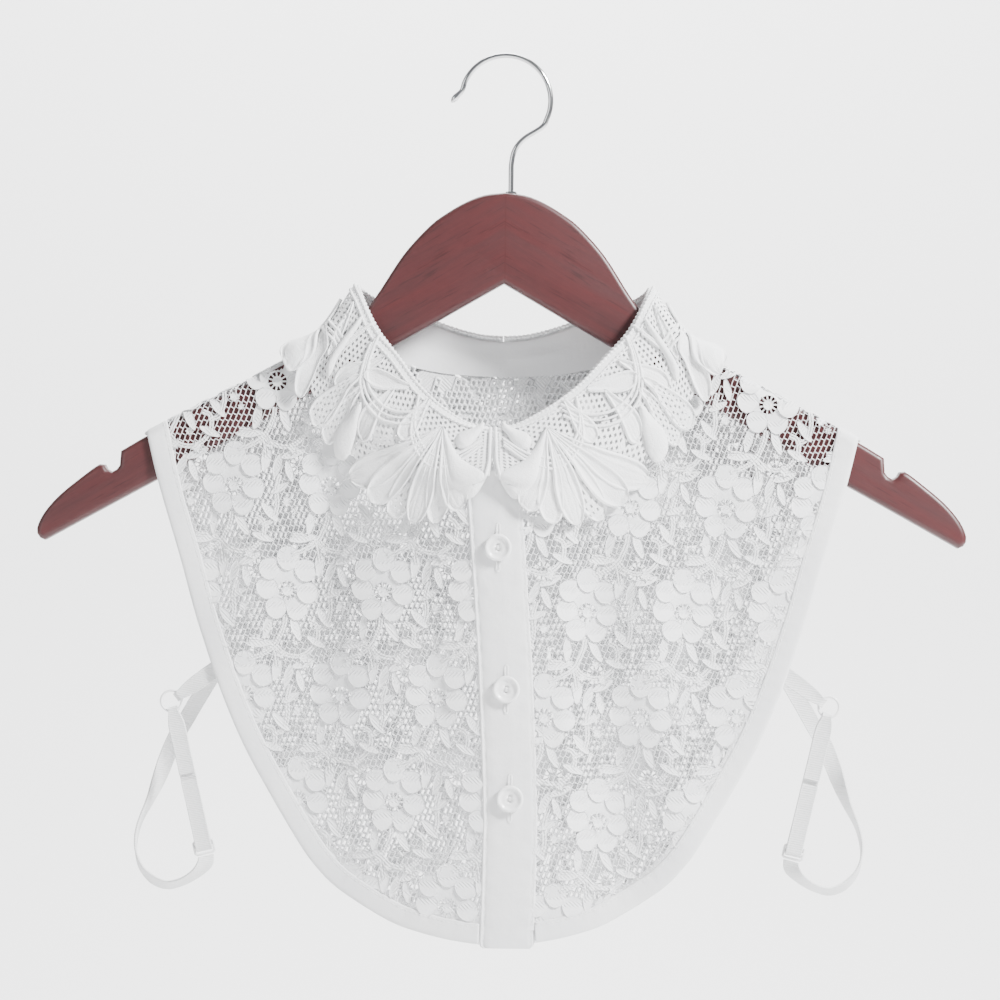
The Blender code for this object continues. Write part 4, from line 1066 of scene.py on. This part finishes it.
class Fall:
    """One half of the collar; u runs from centre front to centre back, v from the fold to the edge."""

    def __init__(self, side):
        self.points, self.outward = fall_table(side)
        steps = np.linalg.norm(np.diff(self.points, axis=0), axis=2).sum(axis=0)
        self.length = steps
        self.width = np.linalg.norm(np.diff(self.points, axis=1), axis=2).sum(axis=1)

    def long_at(self, v):
        return np.interp(v, np.linspace(0, 1, 81), self.length)

    def wide_at(self, u):
        return np.interp(u, np.linspace(0, 1, 161), self.width)

    def lay(self, u, v, lift):
        """Points at places u and v, lifted; they may run a little past the ends."""
        i = np.clip(np.floor(u * 160).astype(int), 0, 159)
        j = np.clip(np.floor(v * 80).astype(int), 0, 79)
        a, b = (u * 160 - i)[:, None], (v * 80 - j)[:, None]
        placed = []
        for table in (self.points, self.outward):
            low = table[i, j] * (1 - a) + table[i + 1, j] * a
            high = table[i, j + 1] * (1 - a) + table[i + 1, j + 1] * a
            placed.append(low * (1 - b) + high * b)
        out = placed[1] / np.linalg.norm(placed[1], axis=1)[:, None]
        return placed[0] + out * np.reshape(lift, (-1, 1))


def grid_faces(columns, rows, holes=None):
    """Faces of a sheet of columns by rows; holes(i, j) says which are left out."""
    faces = []
    for i in range(columns):
        for j in range(rows):
            if holes is None or not holes(i, j):
                corner = i * (rows + 1) + j
                faces.append([corner, corner + rows + 1, corner + rows + 2, corner + 1])
    return faces


PETAL_LONG = 1.0 - (1.0 - np.linspace(0.0, 1.0, 27)) ** 1.3
PETAL_WIDE = np.sin(np.linspace(-1.0, 1.0, 21) * math.pi / 2)


def petal(fall, hub, tip, half_width, style, rise, neck=0.34):
    """A petal of thick lace from its hub to its rounded tip, both given as u, v."""
    long_mm = fall.long_at((hub[1] + tip[1]) / 2)
    wide_mm = fall.wide_at((hub[0] + tip[0]) / 2)
    way = np.array([(tip[0] - hub[0]) * long_mm, (tip[1] - hub[1]) * wide_mm])
    length = np.linalg.norm(way)
    way /= length
    a, b = np.meshgrid(PETAL_LONG, PETAL_WIDE, indexing="ij")
    a, b = a.ravel(), b.ravel()
    swell = neck + (1.0 - neck) * smooth(a / 0.72)
    end = np.sqrt(np.clip(1.0 - (np.clip(a - 0.74, 0.0, 1.0) / 0.26) ** 2, 0.0, 1.0))
    start = np.sqrt(np.clip(a / 0.06, 0.0, 1.0))
    reach = b * half_width * swell * end * start
    along = a * length
    u = hub[0] + (along * way[0] - reach * way[1]) / long_mm
    v = hub[1] + (along * way[1] + reach * way[0]) / wide_mm
    rim = np.minimum((1.0 - np.abs(b)) * swell * half_width, (1.0 - a) * length * 1.2)
    cord = np.exp(-(((rim - 0.75) / 0.62) ** 2))
    groove = np.exp(-(((rim - 2.0) / 0.5) ** 2))
    dome = np.sqrt(np.clip(1.0 - b * b, 0.0, 1.0)) * np.sqrt(np.clip((1.0 - a) * 6.0, 0.0, 1.0))
    holes = None
    if style == "satin":
        lift = rise + 0.2 + 1.9 * dome**1.3 + 0.05 * np.cos(b * 22.0)
    elif style == "ribbed":
        ribs = 0.26 * np.cos(b * math.tau * 2.5) * smooth((rim - 1.6) / 1.0)
        lift = rise + 0.5 * dome + ribs + 1.05 * cord - 0.25 * groove
    elif style == "hollow":
        ribs = 0.22 * np.cos(b * math.tau * 3.0) * smooth((rim - 1.6) / 1.0)
        lift = rise + 0.9 - 0.9 * dome + ribs + 0.9 * cord
    else:
        lift = rise + 0.35 * dome + 1.0 * cord

        def holes(i, j):
            return 2 < i < 23 and i % 2 == 1 and 3 < j < 16 and (j + (i // 2) % 2) % 3 == 0

    points = fall.lay(u, v, lift)
    return points, grid_faces(len(PETAL_LONG) - 1, len(PETAL_WIDE) - 1, holes)


def tube(line, outs, radius, bead=0.0, pitch=1.6, sides=8):
    """A cord along a line of points; bead makes it swell and shrink like a twisted thread."""
    line = np.array(line)
    ways = np.gradient(line, axis=0)
    ways /= np.linalg.norm(ways, axis=1)[:, None]
    cross = np.cross(ways, outs)
    cross /= np.linalg.norm(cross, axis=1)[:, None]
    run = np.concatenate([[0.0], np.cumsum(np.linalg.norm(np.diff(line, axis=0), axis=1))])
    swell = radius * (1.0 + bead * np.sin(run * math.tau / pitch))
    rings = []
    for k in range(sides):
        turn = math.tau * k / sides
        rings.append(line + (cross * math.cos(turn) + outs * math.sin(turn)) * swell[:, None])
    points = np.stack(rings + [rings[0]], axis=1).reshape(-1, 3)
    return points, grid_faces(len(line) - 1, sides)


def cord_on(fall, places, radius, lift, bead=0.12, count=60, pitch=1.6):
    """A cord through places u, v of the collar."""
    path = curve_through(places, count)
    line = fall.lay(path[:, 0], path[:, 1], lift)
    outs = fall.lay(path[:, 0], path[:, 1], lift + 1.0) - line
    return tube(line, outs, radius, bead, pitch)


FANS = (
    # hub u, hub v, first tip u, last tip u, petals, half width
    (0.115, 0.20, 0.010, 0.300, 7, 6.2),
    (0.560, 0.22, 0.470, 0.680, 5, 6.0),
    (0.850, 0.20, 0.735, 0.990, 6, 6.0),
)
FAN_STYLES = ("satin", "ribbed", "hollow", "ribbed", "pierced", "hollow", "ribbed")
LOBES = (
    # hub u, hub v, tip u, tip v, half width, style, rise: the shapes between the fans
    (0.315, 0.50, 0.343, 1.02, 6.0, "satin", 0.9),
    (0.330, 0.40, 0.388, 1.02, 5.8, "pierced", 0.5),
    (0.350, 0.36, 0.430, 1.02, 6.2, "pierced", 0.9),
    (0.262, 0.20, 0.300, 0.72, 4.8, "ribbed", 0.4),
    (0.225, 0.10, 0.345, 0.34, 4.4, "hollow", 0.5),
    (0.330, 0.12, 0.400, 0.62, 5.2, "ribbed", 0.3),
    (0.450, 0.10, 0.440, 0.66, 4.6, "satin", 0.7),
    (0.500, 0.12, 0.480, 0.60, 4.4, "pierced", 0.4),
    (0.640, 0.12, 0.690, 0.66, 4.8, "hollow", 0.5),
    (0.700, 0.40, 0.712, 1.02, 5.8, "satin", 0.9),
    (0.745, 0.12, 0.720, 0.58, 4.4, "ribbed", 0.3),
    (0.960, 0.12, 0.945, 0.62, 4.4, "pierced", 0.4),
    (0.020, 0.06, 0.075, 0.34, 3.8, "satin", 0.6),
    (0.165, 0.06, 0.205, 0.46, 4.2, "ribbed", 0.5),
)
BANDS = (
    # places u, v of a band's middle; each band is three cords side by side
    ((0.155, 0.12), (0.205, 0.30), (0.270, 0.42), (0.330, 0.40), (0.365, 0.22), (0.385, 0.08)),
    ((0.020, 0.30), (0.070, 0.46), (0.130, 0.50), (0.180, 0.36), (0.195, 0.14)),
    ((0.420, 0.08), (0.440, 0.34), (0.500, 0.46), (0.560, 0.44), (0.610, 0.28), (0.620, 0.08)),
    ((0.660, 0.10), (0.690, 0.34), (0.760, 0.44), (0.820, 0.36), (0.840, 0.10)),
    ((0.880, 0.10), (0.905, 0.32), (0.950, 0.42), (0.998, 0.44)),
)
WINDOWS = (
    # along, across, long, wide in millimetres
    (0.335, 0.28, 8.6, 9.4),
    (0.300, 0.46, 9.2, 5.2),
    (0.255, 0.38, 5.4, 4.8),
    (0.205, 0.36, 12.5, 5.4),
    (0.285, 0.62, 9.6, 7.6),
    (0.470, 0.42, 8.6, 12.0),
    (0.640, 0.42, 8.6, 11.0),
    (0.760, 0.36, 9.0, 8.4),
    (0.800, 0.60, 8.6, 5.4),
    (0.900, 0.40, 9.4, 8.0),
)


def ground(fall):
    """The ground of small bars, with its windows."""
    columns, rows, low = 176, 38, 0.88
    u, v = np.meshgrid(np.linspace(0.0, 1.0, columns + 1), np.linspace(0.0, low, rows + 1), indexing="ij")
    u, v = u.ravel(), v.ravel()

    def holes(i, j):
        place_u, place_v = (i + 0.5) / columns, (j + 0.5) / rows * low
        for along, across, long, wide in WINDOWS:
            half_u = long / 2 / fall.long_at(across)
            half_v = wide / 2 / fall.wide_at(along)
            if ((place_u - along) / half_u) ** 2 + ((place_v - across) / half_v) ** 2 < 1.0:
                return True
        return j > 3 and i % 2 == 1 and (j + i // 2) % 2 == 1

    return fall.lay(u, v, 0.25 + 0.0 * u), grid_faces(columns, rows, holes)


guipure, guipure_shader, guipure_place = new_material(
    "guipure_thread", (0.92, 0.92, 0.92), 0.62
)
strands = guipure_place.scaled(1.0, 0.4, 1.0).noise(1500.0, 1.0, 0.6)
twists = guipure_place.noise(520.0, 1.0, 0.5)
raise_surface(guipure_shader, strands + twists * 0.7, 0.00035, 0.7)
feed(guipure_shader, "Roughness", strands.ramp(0.3, 0.7, 0.52, 0.72))
tint = guipure_place.noise(40.0, 1.0).ramp(0.35, 0.65, 0.0, 1.0)
feed(guipure_shader, "Base Color", tint.mix((0.89, 0.895, 0.90, 1.0), (0.93, 0.93, 0.93, 1.0)))

for word, side in (("left", -1), ("right", 1)):
    fall = Fall(side)
    drawn = [ground(fall)]
    for fan, (hub_u, hub_v, first, last, count, half_width) in enumerate(FANS):
        for k in range(count):
            tip = (first + (last - first) * k / (count - 1), 1.03 - 0.012 * (k % 2))
            style = FAN_STYLES[(k + 2 * fan) % len(FAN_STYLES)]
            drawn.append(petal(fall, (hub_u, hub_v), tip, half_width, style, 0.5 + 0.45 * (k % 2), 0.22))
    for hub_u, hub_v, tip_u, tip_v, half_width, style, rise in LOBES:
        drawn.append(petal(fall, (hub_u, hub_v), (tip_u, tip_v), half_width, style, rise))
    for places in BANDS:
        for shift, radius in ((-0.045, 0.75), (0.0, 0.55), (0.045, 0.75)):
            shifted = [(u, v + shift) for u, v in places]
            drawn.append(cord_on(fall, shifted, radius, 1.0, 0.1, 90))
    for v, radius in ((0.004, 0.9), (0.045, 0.7), (0.10, 0.55)):
        drawn.append(cord_on(fall, [(0.0, v), (0.25, v), (0.5, v), (0.75, v), (1.0, v)], radius, 0.5, 0.3, 420, 2.2))
    drawn.append(cord_on(fall, [(0.004, 0.02), (0.004, 0.3), (0.004, 0.6), (0.01, 0.86)], 0.8, 0.6, 0.1, 40))
    piece = add_tables(f"guipure_{word}", joined(drawn), guipure, [f"collar_fall_{word}"])

# Placket: a folded cotton band down the wearer's right front, stitched on both edges, with a fine piped
# cord along one of them.  Three upright buttonholes are worked in it, and the plain strip behind it
# carries the buttons.

BUTTON_HEIGHTS = (-234.8, -302.0, -354.0)
PLACKET_ROUTE = (
    # across from the middle, lift off the cloth
    (-12.6, -0.3),
    (-12.9, 0.3),
    (-12.7, 0.85),
    (-12.2, 1.02),
    (-11.7, 0.85),
    (-11.45, 0.3),
    (-11.1, 0.2),
    (-10.6, 0.5),
    (-9.8, 0.68),
    (-7.0, 0.74),
    (-4.4, 0.76),
    (-2.6, 0.78),
    (-1.2, 0.78),
    (0.0, 0.74),
    (1.2, 0.78),
    (2.6, 0.78),
    (4.4, 0.76),
    (7.0, 0.76),
    (9.6, 0.76),
    (10.9, 0.70),
    (11.3, 0.52),
    (11.7, 0.68),
    (12.3, 0.72),
    (12.8, 0.45),
    (12.9, 0.0),
    (12.7, -0.4),
    (8.0, -0.5),
    (0.0, -0.5),
    (-8.0, -0.5),
    (-12.6, -0.3),
)
PLACKET_TOP_Z = float(seam_height(0.0)) - 74.0
heights = np.linspace(PLACKET_TOP_Z, PLACKET_BOTTOM_Z, 221)
across = np.array([w for w, _ in PLACKET_ROUTE])[:, None] + 0.0 * heights
lifts = np.array([lift for _, lift in PLACKET_ROUTE])[:, None] + 0.0 * heights
corner = np.sqrt(np.clip(1.0 - np.clip(1.0 - (heights - PLACKET_BOTTOM_Z) / 2.2, 0.0, 1.0) ** 2, 0.0, 1.0))
across *= 0.86 + 0.14 * corner
outer = lifts > 0.4
ripples = 0.10 * np.sin(heights * 0.31 + 2.0 * np.sin(heights * 0.05)) * np.cos(across * 0.18)
edge_ripples = 0.16 * np.sin(heights * 0.62 + 1.1 * np.sin(heights * 0.11)) * (np.abs(across) > 9.0)
lifts += np.where(outer, ripples + edge_ripples, 0.0)
for z in BUTTON_HEIGHTS:
    near = np.exp(-(((heights - z) / 9.0) ** 2) - (across / 5.0) ** 2)
    pulls = np.exp(-(((heights - z) / 16.0) ** 2)) * 0.22 * np.sin(across * 0.75 + 0.6) * np.exp(-((across / 9.0) ** 2))
    lifts += np.where(outer, pulls - 0.30 * near, 0.0)
flat_x = placket_x(heights) + across
flat_z = heights + 0.0 * across
spots = seat_all(flat_x.ravel(), flat_z.ravel(), True, lifts.ravel()).reshape(len(PLACKET_ROUTE), 221, 3)
drawn = add_strip(len(PLACKET_ROUTE) - 1, 220, lambda column, row: spots[column][row])
placket = add_tables("placket_band", drawn, cotton, ["placket"])

seams = []
for shift, lift in ((-11.25, 0.42), (11.3, 0.62)):
    seams.append(sew(np.stack([placket_x(heights[1:-1]) + shift, heights[1:-1]], axis=1), True, lift))
points, faces = STITCH
for z in BUTTON_HEIGHTS:
    for reach in np.arange(-11.6, 11.7, 0.34):
        for shift in (-0.72, 0.72):
            if abs(reach) > 10.9:
                shift *= 0.35
            flat_x = placket_x(z) + shift + points[:, 2] * 0.72
            flat_z = z + reach + points[:, 0] * 0.85
            seams.append((seat_all(flat_x, flat_z, True, 0.86 + points[:, 1] * 1.5), faces))
    cut = [(placket_x(z), z + reach) for reach in (-10.6, 10.6)]
add_tables("placket_stitches", joined(seams), stitch_thread, ())

strip_route = [(-11.0, 0.5), (-10.6, 0.56), (0.0, 0.6), (10.6, 0.56), (11.0, 0.5), (10.6, -0.4), (0.0, -0.45)]
strip_route += [(-10.6, -0.4), (-11.0, 0.5)]
heights = np.linspace(PLACKET_TOP_Z, PLACKET_BOTTOM_Z + 0.4, 101)
across = np.array([w for w, _ in strip_route])[:, None] + 0.0 * heights
lifts = np.array([lift - 1.6 for _, lift in strip_route])[:, None] + 0.0 * heights
flat_x, flat_z = placket_x(heights) + across, heights + 0.0 * across
spots = seat_all(flat_x.ravel(), flat_z.ravel(), True, lifts.ravel()).reshape(len(strip_route), 101, 3)
drawn = add_strip(len(strip_route) - 1, 100, lambda column, row: spots[column][row])
under = add_tables("button_strip", drawn, cotton, ["button_stand"])

# Buttons: white moulded plastic, 13 mm, with a raised rim round a dished middle and two holes, sewn on
# through the holes with white thread.

BUTTON_PROFILE = (
    # radius, height
    (2.9, 1.18),
    (3.7, 1.25),
    (4.3, 1.45),
    (4.75, 1.9),
    (5.15, 2.22),
    (5.6, 2.32),
    (6.05, 2.2),
    (6.38, 1.85),
    (6.5, 1.4),
    (6.4, 0.85),
    (6.0, 0.4),
    (5.4, 0.1),
    (4.8, 0.0),
    (2.9, 0.0),
)
HOLES = ((0.0, 1.15), (0.0, -1.15))
button_bm = bmesh.new()
circle = bmesh.ops.create_circle(button_bm, segments=48, radius=2.9)["verts"]
for x, y in HOLES:
    bmesh.ops.create_circle(button_bm, segments=14, radius=0.62, matrix=Matrix.Translation((x, y, 0.0)))
bmesh.ops.triangle_fill(button_bm, edges=button_bm.edges[:], use_beauty=True)
inside = [f for f in button_bm.faces if any((f.calc_center_median() - Vector((x, y, 0))).length < 0.5 for x, y in HOLES)]
bmesh.ops.delete(button_bm, geom=inside, context="FACES_ONLY")
under_side = bmesh.ops.duplicate(button_bm, geom=button_bm.verts[:] + button_bm.edges[:] + button_bm.faces[:])
top = [v for v in button_bm.verts if v not in set(under_side["geom"])]
bmesh.ops.translate(button_bm, vec=(0, 0, 1.18), verts=top)
rims = [e for e in button_bm.edges if e.is_boundary and e.verts[0].co.length < 2.5]
bmesh.ops.bridge_loops(button_bm, edges=rims)
ring = [button_bm.verts.new((radius, 0.0, height)) for radius, height in BUTTON_PROFILE]
edges = [button_bm.edges.new(pair) for pair in zip(ring, ring[1:])]
bmesh.ops.spin(
    button_bm, geom=ring + edges, cent=(0, 0, 0), axis=(0, 0, 1), angle=math.tau, steps=48, use_merge=True,
)
bmesh.ops.remove_doubles(button_bm, verts=button_bm.verts[:], dist=2e-3)
bmesh.ops.recalc_face_normals(button_bm, faces=button_bm.faces[:])
button_tables = tables_of(button_bm)

plastic, plastic_shader, plastic_place = new_material(
    "button_plastic", (0.90, 0.90, 0.90), 0.28, Coat_Weight=0.25, Coat_Roughness=0.15
)
pearl = plastic_place.noise(220.0, 3.0)
feed(plastic_shader, "Roughness", pearl.ramp(0.3, 0.7, 0.22, 0.36))
raise_surface(plastic_shader, pearl, 0.00005, 0.25)

thread_bm = bmesh.new()
for shift in (-0.26, 0.0, 0.26):
    places = [(shift * 0.6, 1.15, -0.4), (shift, 1.1, 1.0), (shift * 1.5, 0.6, 1.55), (shift * 1.6, 0.0, 1.62)]
    places += [(x, -y, z) for x, y, z in places[2::-1]]
    add_tube(thread_bm, curve_through(places, 16), 0.17, 6)
bmesh.ops.recalc_face_normals(thread_bm, faces=thread_bm.faces[:])
thread_tables = tables_of(thread_bm)
for number, z in enumerate(BUTTON_HEIGHTS, start=1):
    x = float(placket_x(z))
    middle = seat(x, z, True, 1.25)
    level = (seat(x + 3.0, z, True) - seat(x - 3.0, z, True)).normalized()
    upward = (seat(x, z + 3.0, True) - seat(x, z - 3.0, True)).normalized()
    out = level.cross(upward).normalized()
    if out.y > 0:
        out = -out
    tilt = math.radians((7.0, -4.0, 5.0)[number - 1])
    spun_level = level * math.cos(tilt) + upward * math.sin(tilt)
    spun_up = out.cross(spun_level)
    turn = np.array([spun_level, spun_up, out])
    for name, tables, material, replaced, slot in (
        (f"button_disc_{number}", button_tables, plastic, [f"button_{number}"], None),
        (f"button_thread_{number}", thread_tables, stitch_thread, (), f"button_{number}"),
    ):
        points, faces = tables
        add_tables(name, (points @ turn + np.array(middle), faces), material, replaced)

# Side straps: 8 mm white elastic, woven with fine cross ribs and firm edges.  At each side a short tab is
# sewn behind the binding and holds a coated ring; a doubled strap hangs from it to a coated slider, and
# the loop runs from the slider back up to the back panel.

STRAP_WIDTH = 7.8
RING_CENTRE = (157.4, -7.0, -310.1)
RING_RADIUS = 4.95
TURN_RADIUS = 1.95
SLIDER_CENTRE = (141.3, -5.0, -380.0)
LOOP_ROUTE = (
    # x, y, z, turn of the band in degrees: 0 edge on, 90 face on
    (140.6, -4.7, -387.6, 66.0),
    (144.0, -3.8, -392.0, 40.0),
    (149.6, -2.2, -396.0, 30.0),
    (155.0, -0.6, -398.2, 30.0),
    (160.2, 0.8, -398.9, 34.0),
    (166.5, 2.2, -396.5, 34.0),
    (172.0, 3.4, -391.0, 20.0),
    (174.7, 4.4, -383.6, 6.0),
    (174.7, 5.2, -375.9, -4.0),
    (172.6, 5.9, -368.0, -10.0),
    (168.0, 6.8, -358.0, -26.0),
    (163.9, 7.8, -347.4, -55.0),
    (160.6, 8.4, -338.2, -78.0),
    (156.8, 8.9, -328.9, -88.0),
    (151.9, 9.2, -320.5, -90.0),
    (146.6, 9.2, -311.2, -90.0),
)
BAND_SECTION = (
    # across, thickness, as shares of the half width and the half wall
    (-1.0, 0.0), (-0.99, 0.8), (-0.93, 1.1), (-0.86, 0.95), (-0.5, 0.85), (0.0, 0.85), (0.5, 0.85),
    (0.86, 0.95), (0.93, 1.1), (0.99, 0.8), (1.0, 0.0), (0.99, -0.8), (0.93, -1.1), (0.86, -0.95),
    (0.0, -0.85), (-0.86, -0.95), (-0.93, -1.1), (-0.99, -0.8), (-1.0, 0.0),
)
ring, slider = Vector(RING_CENTRE), Vector(SLIDER_CENTRE)
down = (slider - ring).normalized()
slider_across = Vector((-down.z, 0.0, down.x)).normalized()


def band(route, count, wall=0.5, closed_ends=True):
    """A flat ribbed elastic along rows of (point, width direction, width)."""
    rows = curve_through([tuple(p) + tuple(w) + (width,) for p, w, width in route], count)
    rows = np.array(rows)
    places, ways = rows[:, :3], rows[:, 3:6]
    ways /= np.linalg.norm(ways, axis=1)[:, None]
    ahead = np.gradient(places, axis=0)
    normal = np.cross(ahead, ways)
    normal /= np.linalg.norm(normal, axis=1)[:, None]
    run = np.concatenate([[0.0], np.cumsum(np.linalg.norm(np.diff(places, axis=0), axis=1))])
    rib = 1.0 + 0.10 * np.sin(run * math.tau / 1.1)
    rings = []
    for a, b in BAND_SECTION:
        thick = b * wall * (rib if abs(a) < 0.9 else 1.0 + 0.0 * rib)
        rings.append(places + ways * (a * rows[:, 6] / 2)[:, None] + normal * thick[:, None])
    points = np.stack(rings, axis=1).reshape(-1, 3)
    faces = grid_faces(count - 1, len(BAND_SECTION) - 1)
    size = len(BAND_SECTION)
    faces += [list(range(size - 1)), list(range((count - 1) * size, count * size - 1))]
    return points, faces


def turn_round(centre, away, across, reach):
    """Half a turn round a bar: from the front leg, past the far side, to the back leg."""
    points = []
    for k in range(9):
        angle = math.pi * k / 8
        shift = away * (reach * math.sin(angle)) - Vector((0, reach * math.cos(angle), 0))
        points.append((centre + shift, across, 4.6 if reach > 1.9 else STRAP_WIDTH))
    return points


def tab_band():
    angle = math.radians(143.8)
    out = Vector((math.cos(angle), 0.0, math.sin(angle)))
    across = Vector((-out.z, 0.0, out.x))
    bar = ring + out * RING_RADIUS
    sewn = bar + out * 22.0
    sewn.y = seat(sewn.x, sewn.z, True).y + 1.7
    edge = bar + out * 13.0
    edge.y = sewn.y + 0.2
    narrow = bar + out * 5.0
    narrow.y = bar.y - TURN_RADIUS
    back_near = bar + out * 5.0
    back_near.y = bar.y + TURN_RADIUS * 0.6
    back_end = bar + out * 11.0
    back_end.y = edge.y + 1.6
    route = [(sewn, across, STRAP_WIDTH), (edge, across, STRAP_WIDTH), (narrow, across, STRAP_WIDTH * 0.85)]
    route += turn_round(bar, -out, across, TURN_RADIUS)
    return route + [(back_near, across, STRAP_WIDTH * 0.85), (back_end, across, STRAP_WIDTH)]


def double_band():
    angle = math.radians(-102.7)
    bar = ring + Vector((math.cos(angle), 0.0, math.sin(angle))) * RING_RADIUS
    way = (slider - bar).normalized()
    across = Vector((-way.z, 0.0, way.x)).normalized()
    length = (slider - bar).length
    spread = ((0.0, TURN_RADIUS), (0.1, 1.1), (0.3, 0.7), (0.5, 0.7), (0.7, 0.7), (0.88, 1.1), (1.0, 1.45))

    def leg(share, offset):
        point = bar + way * (length * share)
        point.y += offset
        return (point, across, STRAP_WIDTH)

    route = [leg(s, -o) for s, o in spread[3:-1]]
    route += turn_round(slider, way, across, 1.45)
    route += [leg(s, o) for s, o in reversed(spread[1:-1])]
    route += turn_round(bar, -way, across, TURN_RADIUS)[::-1]
    return route + [leg(s, -o) for s, o in spread[1:3]] + [leg(0.46, -0.7)]


def loop_band():
    end = seat(138.8, -298.0, False)
    end.y -= 1.7
    start = slider + down * 4.3
    rows = [tuple(start) + (74.0,)] + list(LOOP_ROUTE) + [tuple(end) + (-90.0,)]
    path = curve_through(rows, 60)
    route = []
    for k, (x, y, z, turn) in enumerate(path):
        ahead = Vector(path[min(k + 1, 59)][:3]) - Vector(path[max(k - 1, 0)][:3])
        way = down if k == 0 else ahead.normalized()
        deep = (Vector((0, 1, 0)) - way * way.y).normalized()
        angle = math.radians(turn)
        route.append((Vector((x, y, z)), deep * math.cos(angle) + deep.cross(way) * math.sin(angle), STRAP_WIDTH))
    return route


elastic, elastic_shader, elastic_place = new_material("elastic", (0.88, 0.88, 0.88), 0.42)
ribs = (elastic_place.part(2) * (math.tau / 0.0011) + elastic_place.part(0) * (math.tau / 0.006)).maths("SINE")
knit = elastic_place.noise(900.0, 2.0)
raise_surface(elastic_shader, ribs * 0.6 + knit, 0.00012, 0.8)
feed(elastic_shader, "Roughness", knit.ramp(0.3, 0.7, 0.34, 0.5))
feed(elastic_shader, "Base Color", knit.ramp(0.3, 0.7, 0.0, 1.0).mix((0.73, 0.735, 0.74, 1.0), (0.79, 0.79, 0.79, 1.0)))
coating, coating_shader, coating_place = new_material("white_coating", (0.88, 0.88, 0.88), 0.2, Coat_Weight=0.3)
feed(coating_shader, "Roughness", coating_place.noise(300.0).ramp(0.3, 0.7, 0.16, 0.26))

ring_bm = bmesh.new()
circle = [(ring.x + RING_RADIUS * math.cos(a), ring.y, ring.z + RING_RADIUS * math.sin(a))
          for a in np.linspace(0, math.tau, 40, endpoint=False)]
add_tube(ring_bm, circle, 0.6, 10, closed=True)
bmesh.ops.recalc_face_normals(ring_bm, faces=ring_bm.faces[:])
slider_bm = bmesh.new()
for bar_route in (
    [(-4.7, -3.2), (4.7, -3.2), (4.7, 3.2), (-4.7, 3.2)],
    [(-4.7, -0.2), (4.7, -0.2), (4.7, 0.2), (-4.7, 0.2)],
):
    bars = []
    for k, (x, z) in enumerate(bar_route):
        nx, nz = bar_route[(k + 1) % 4]
        bars += [(x + (nx - x) * s, 0.0, z + (nz - z) * s) for s in (0.1, 0.3, 0.5, 0.7, 0.9)]
    add_tube(slider_bm, [slider + slider_across * x - down * z for x, _, z in bars], 0.58, 8, closed=True)
bmesh.ops.recalc_face_normals(slider_bm, faces=slider_bm.faces[:])
BANDS_SEWN = (
    # name, node, route, samples
    ("tab_elastic", "strap_tab", tab_band(), 90),
    ("double_elastic", "strap_double", double_band(), 260),
    ("loop_elastic", "strap_loop", loop_band(), 360),
)
for word, side in (("left", -1), ("right", 1)):
    flip = np.array((side, 1.0, 1.0))
    for name, node, route, count in BANDS_SEWN:
        points, faces = band(route, count)
        add_tables(f"{name}_{word}", (points * flip, faces), elastic, [f"{node}_{word}"])
    for name, node, made in (("ring_wire", "strap_ring", ring_bm), ("slide_wire", "strap_slider", slider_bm)):
        points, faces = tables_of(made.copy())
        add_tables(f"{name}_{word}", (points * flip, faces), coating, [f"{node}_{word}"])
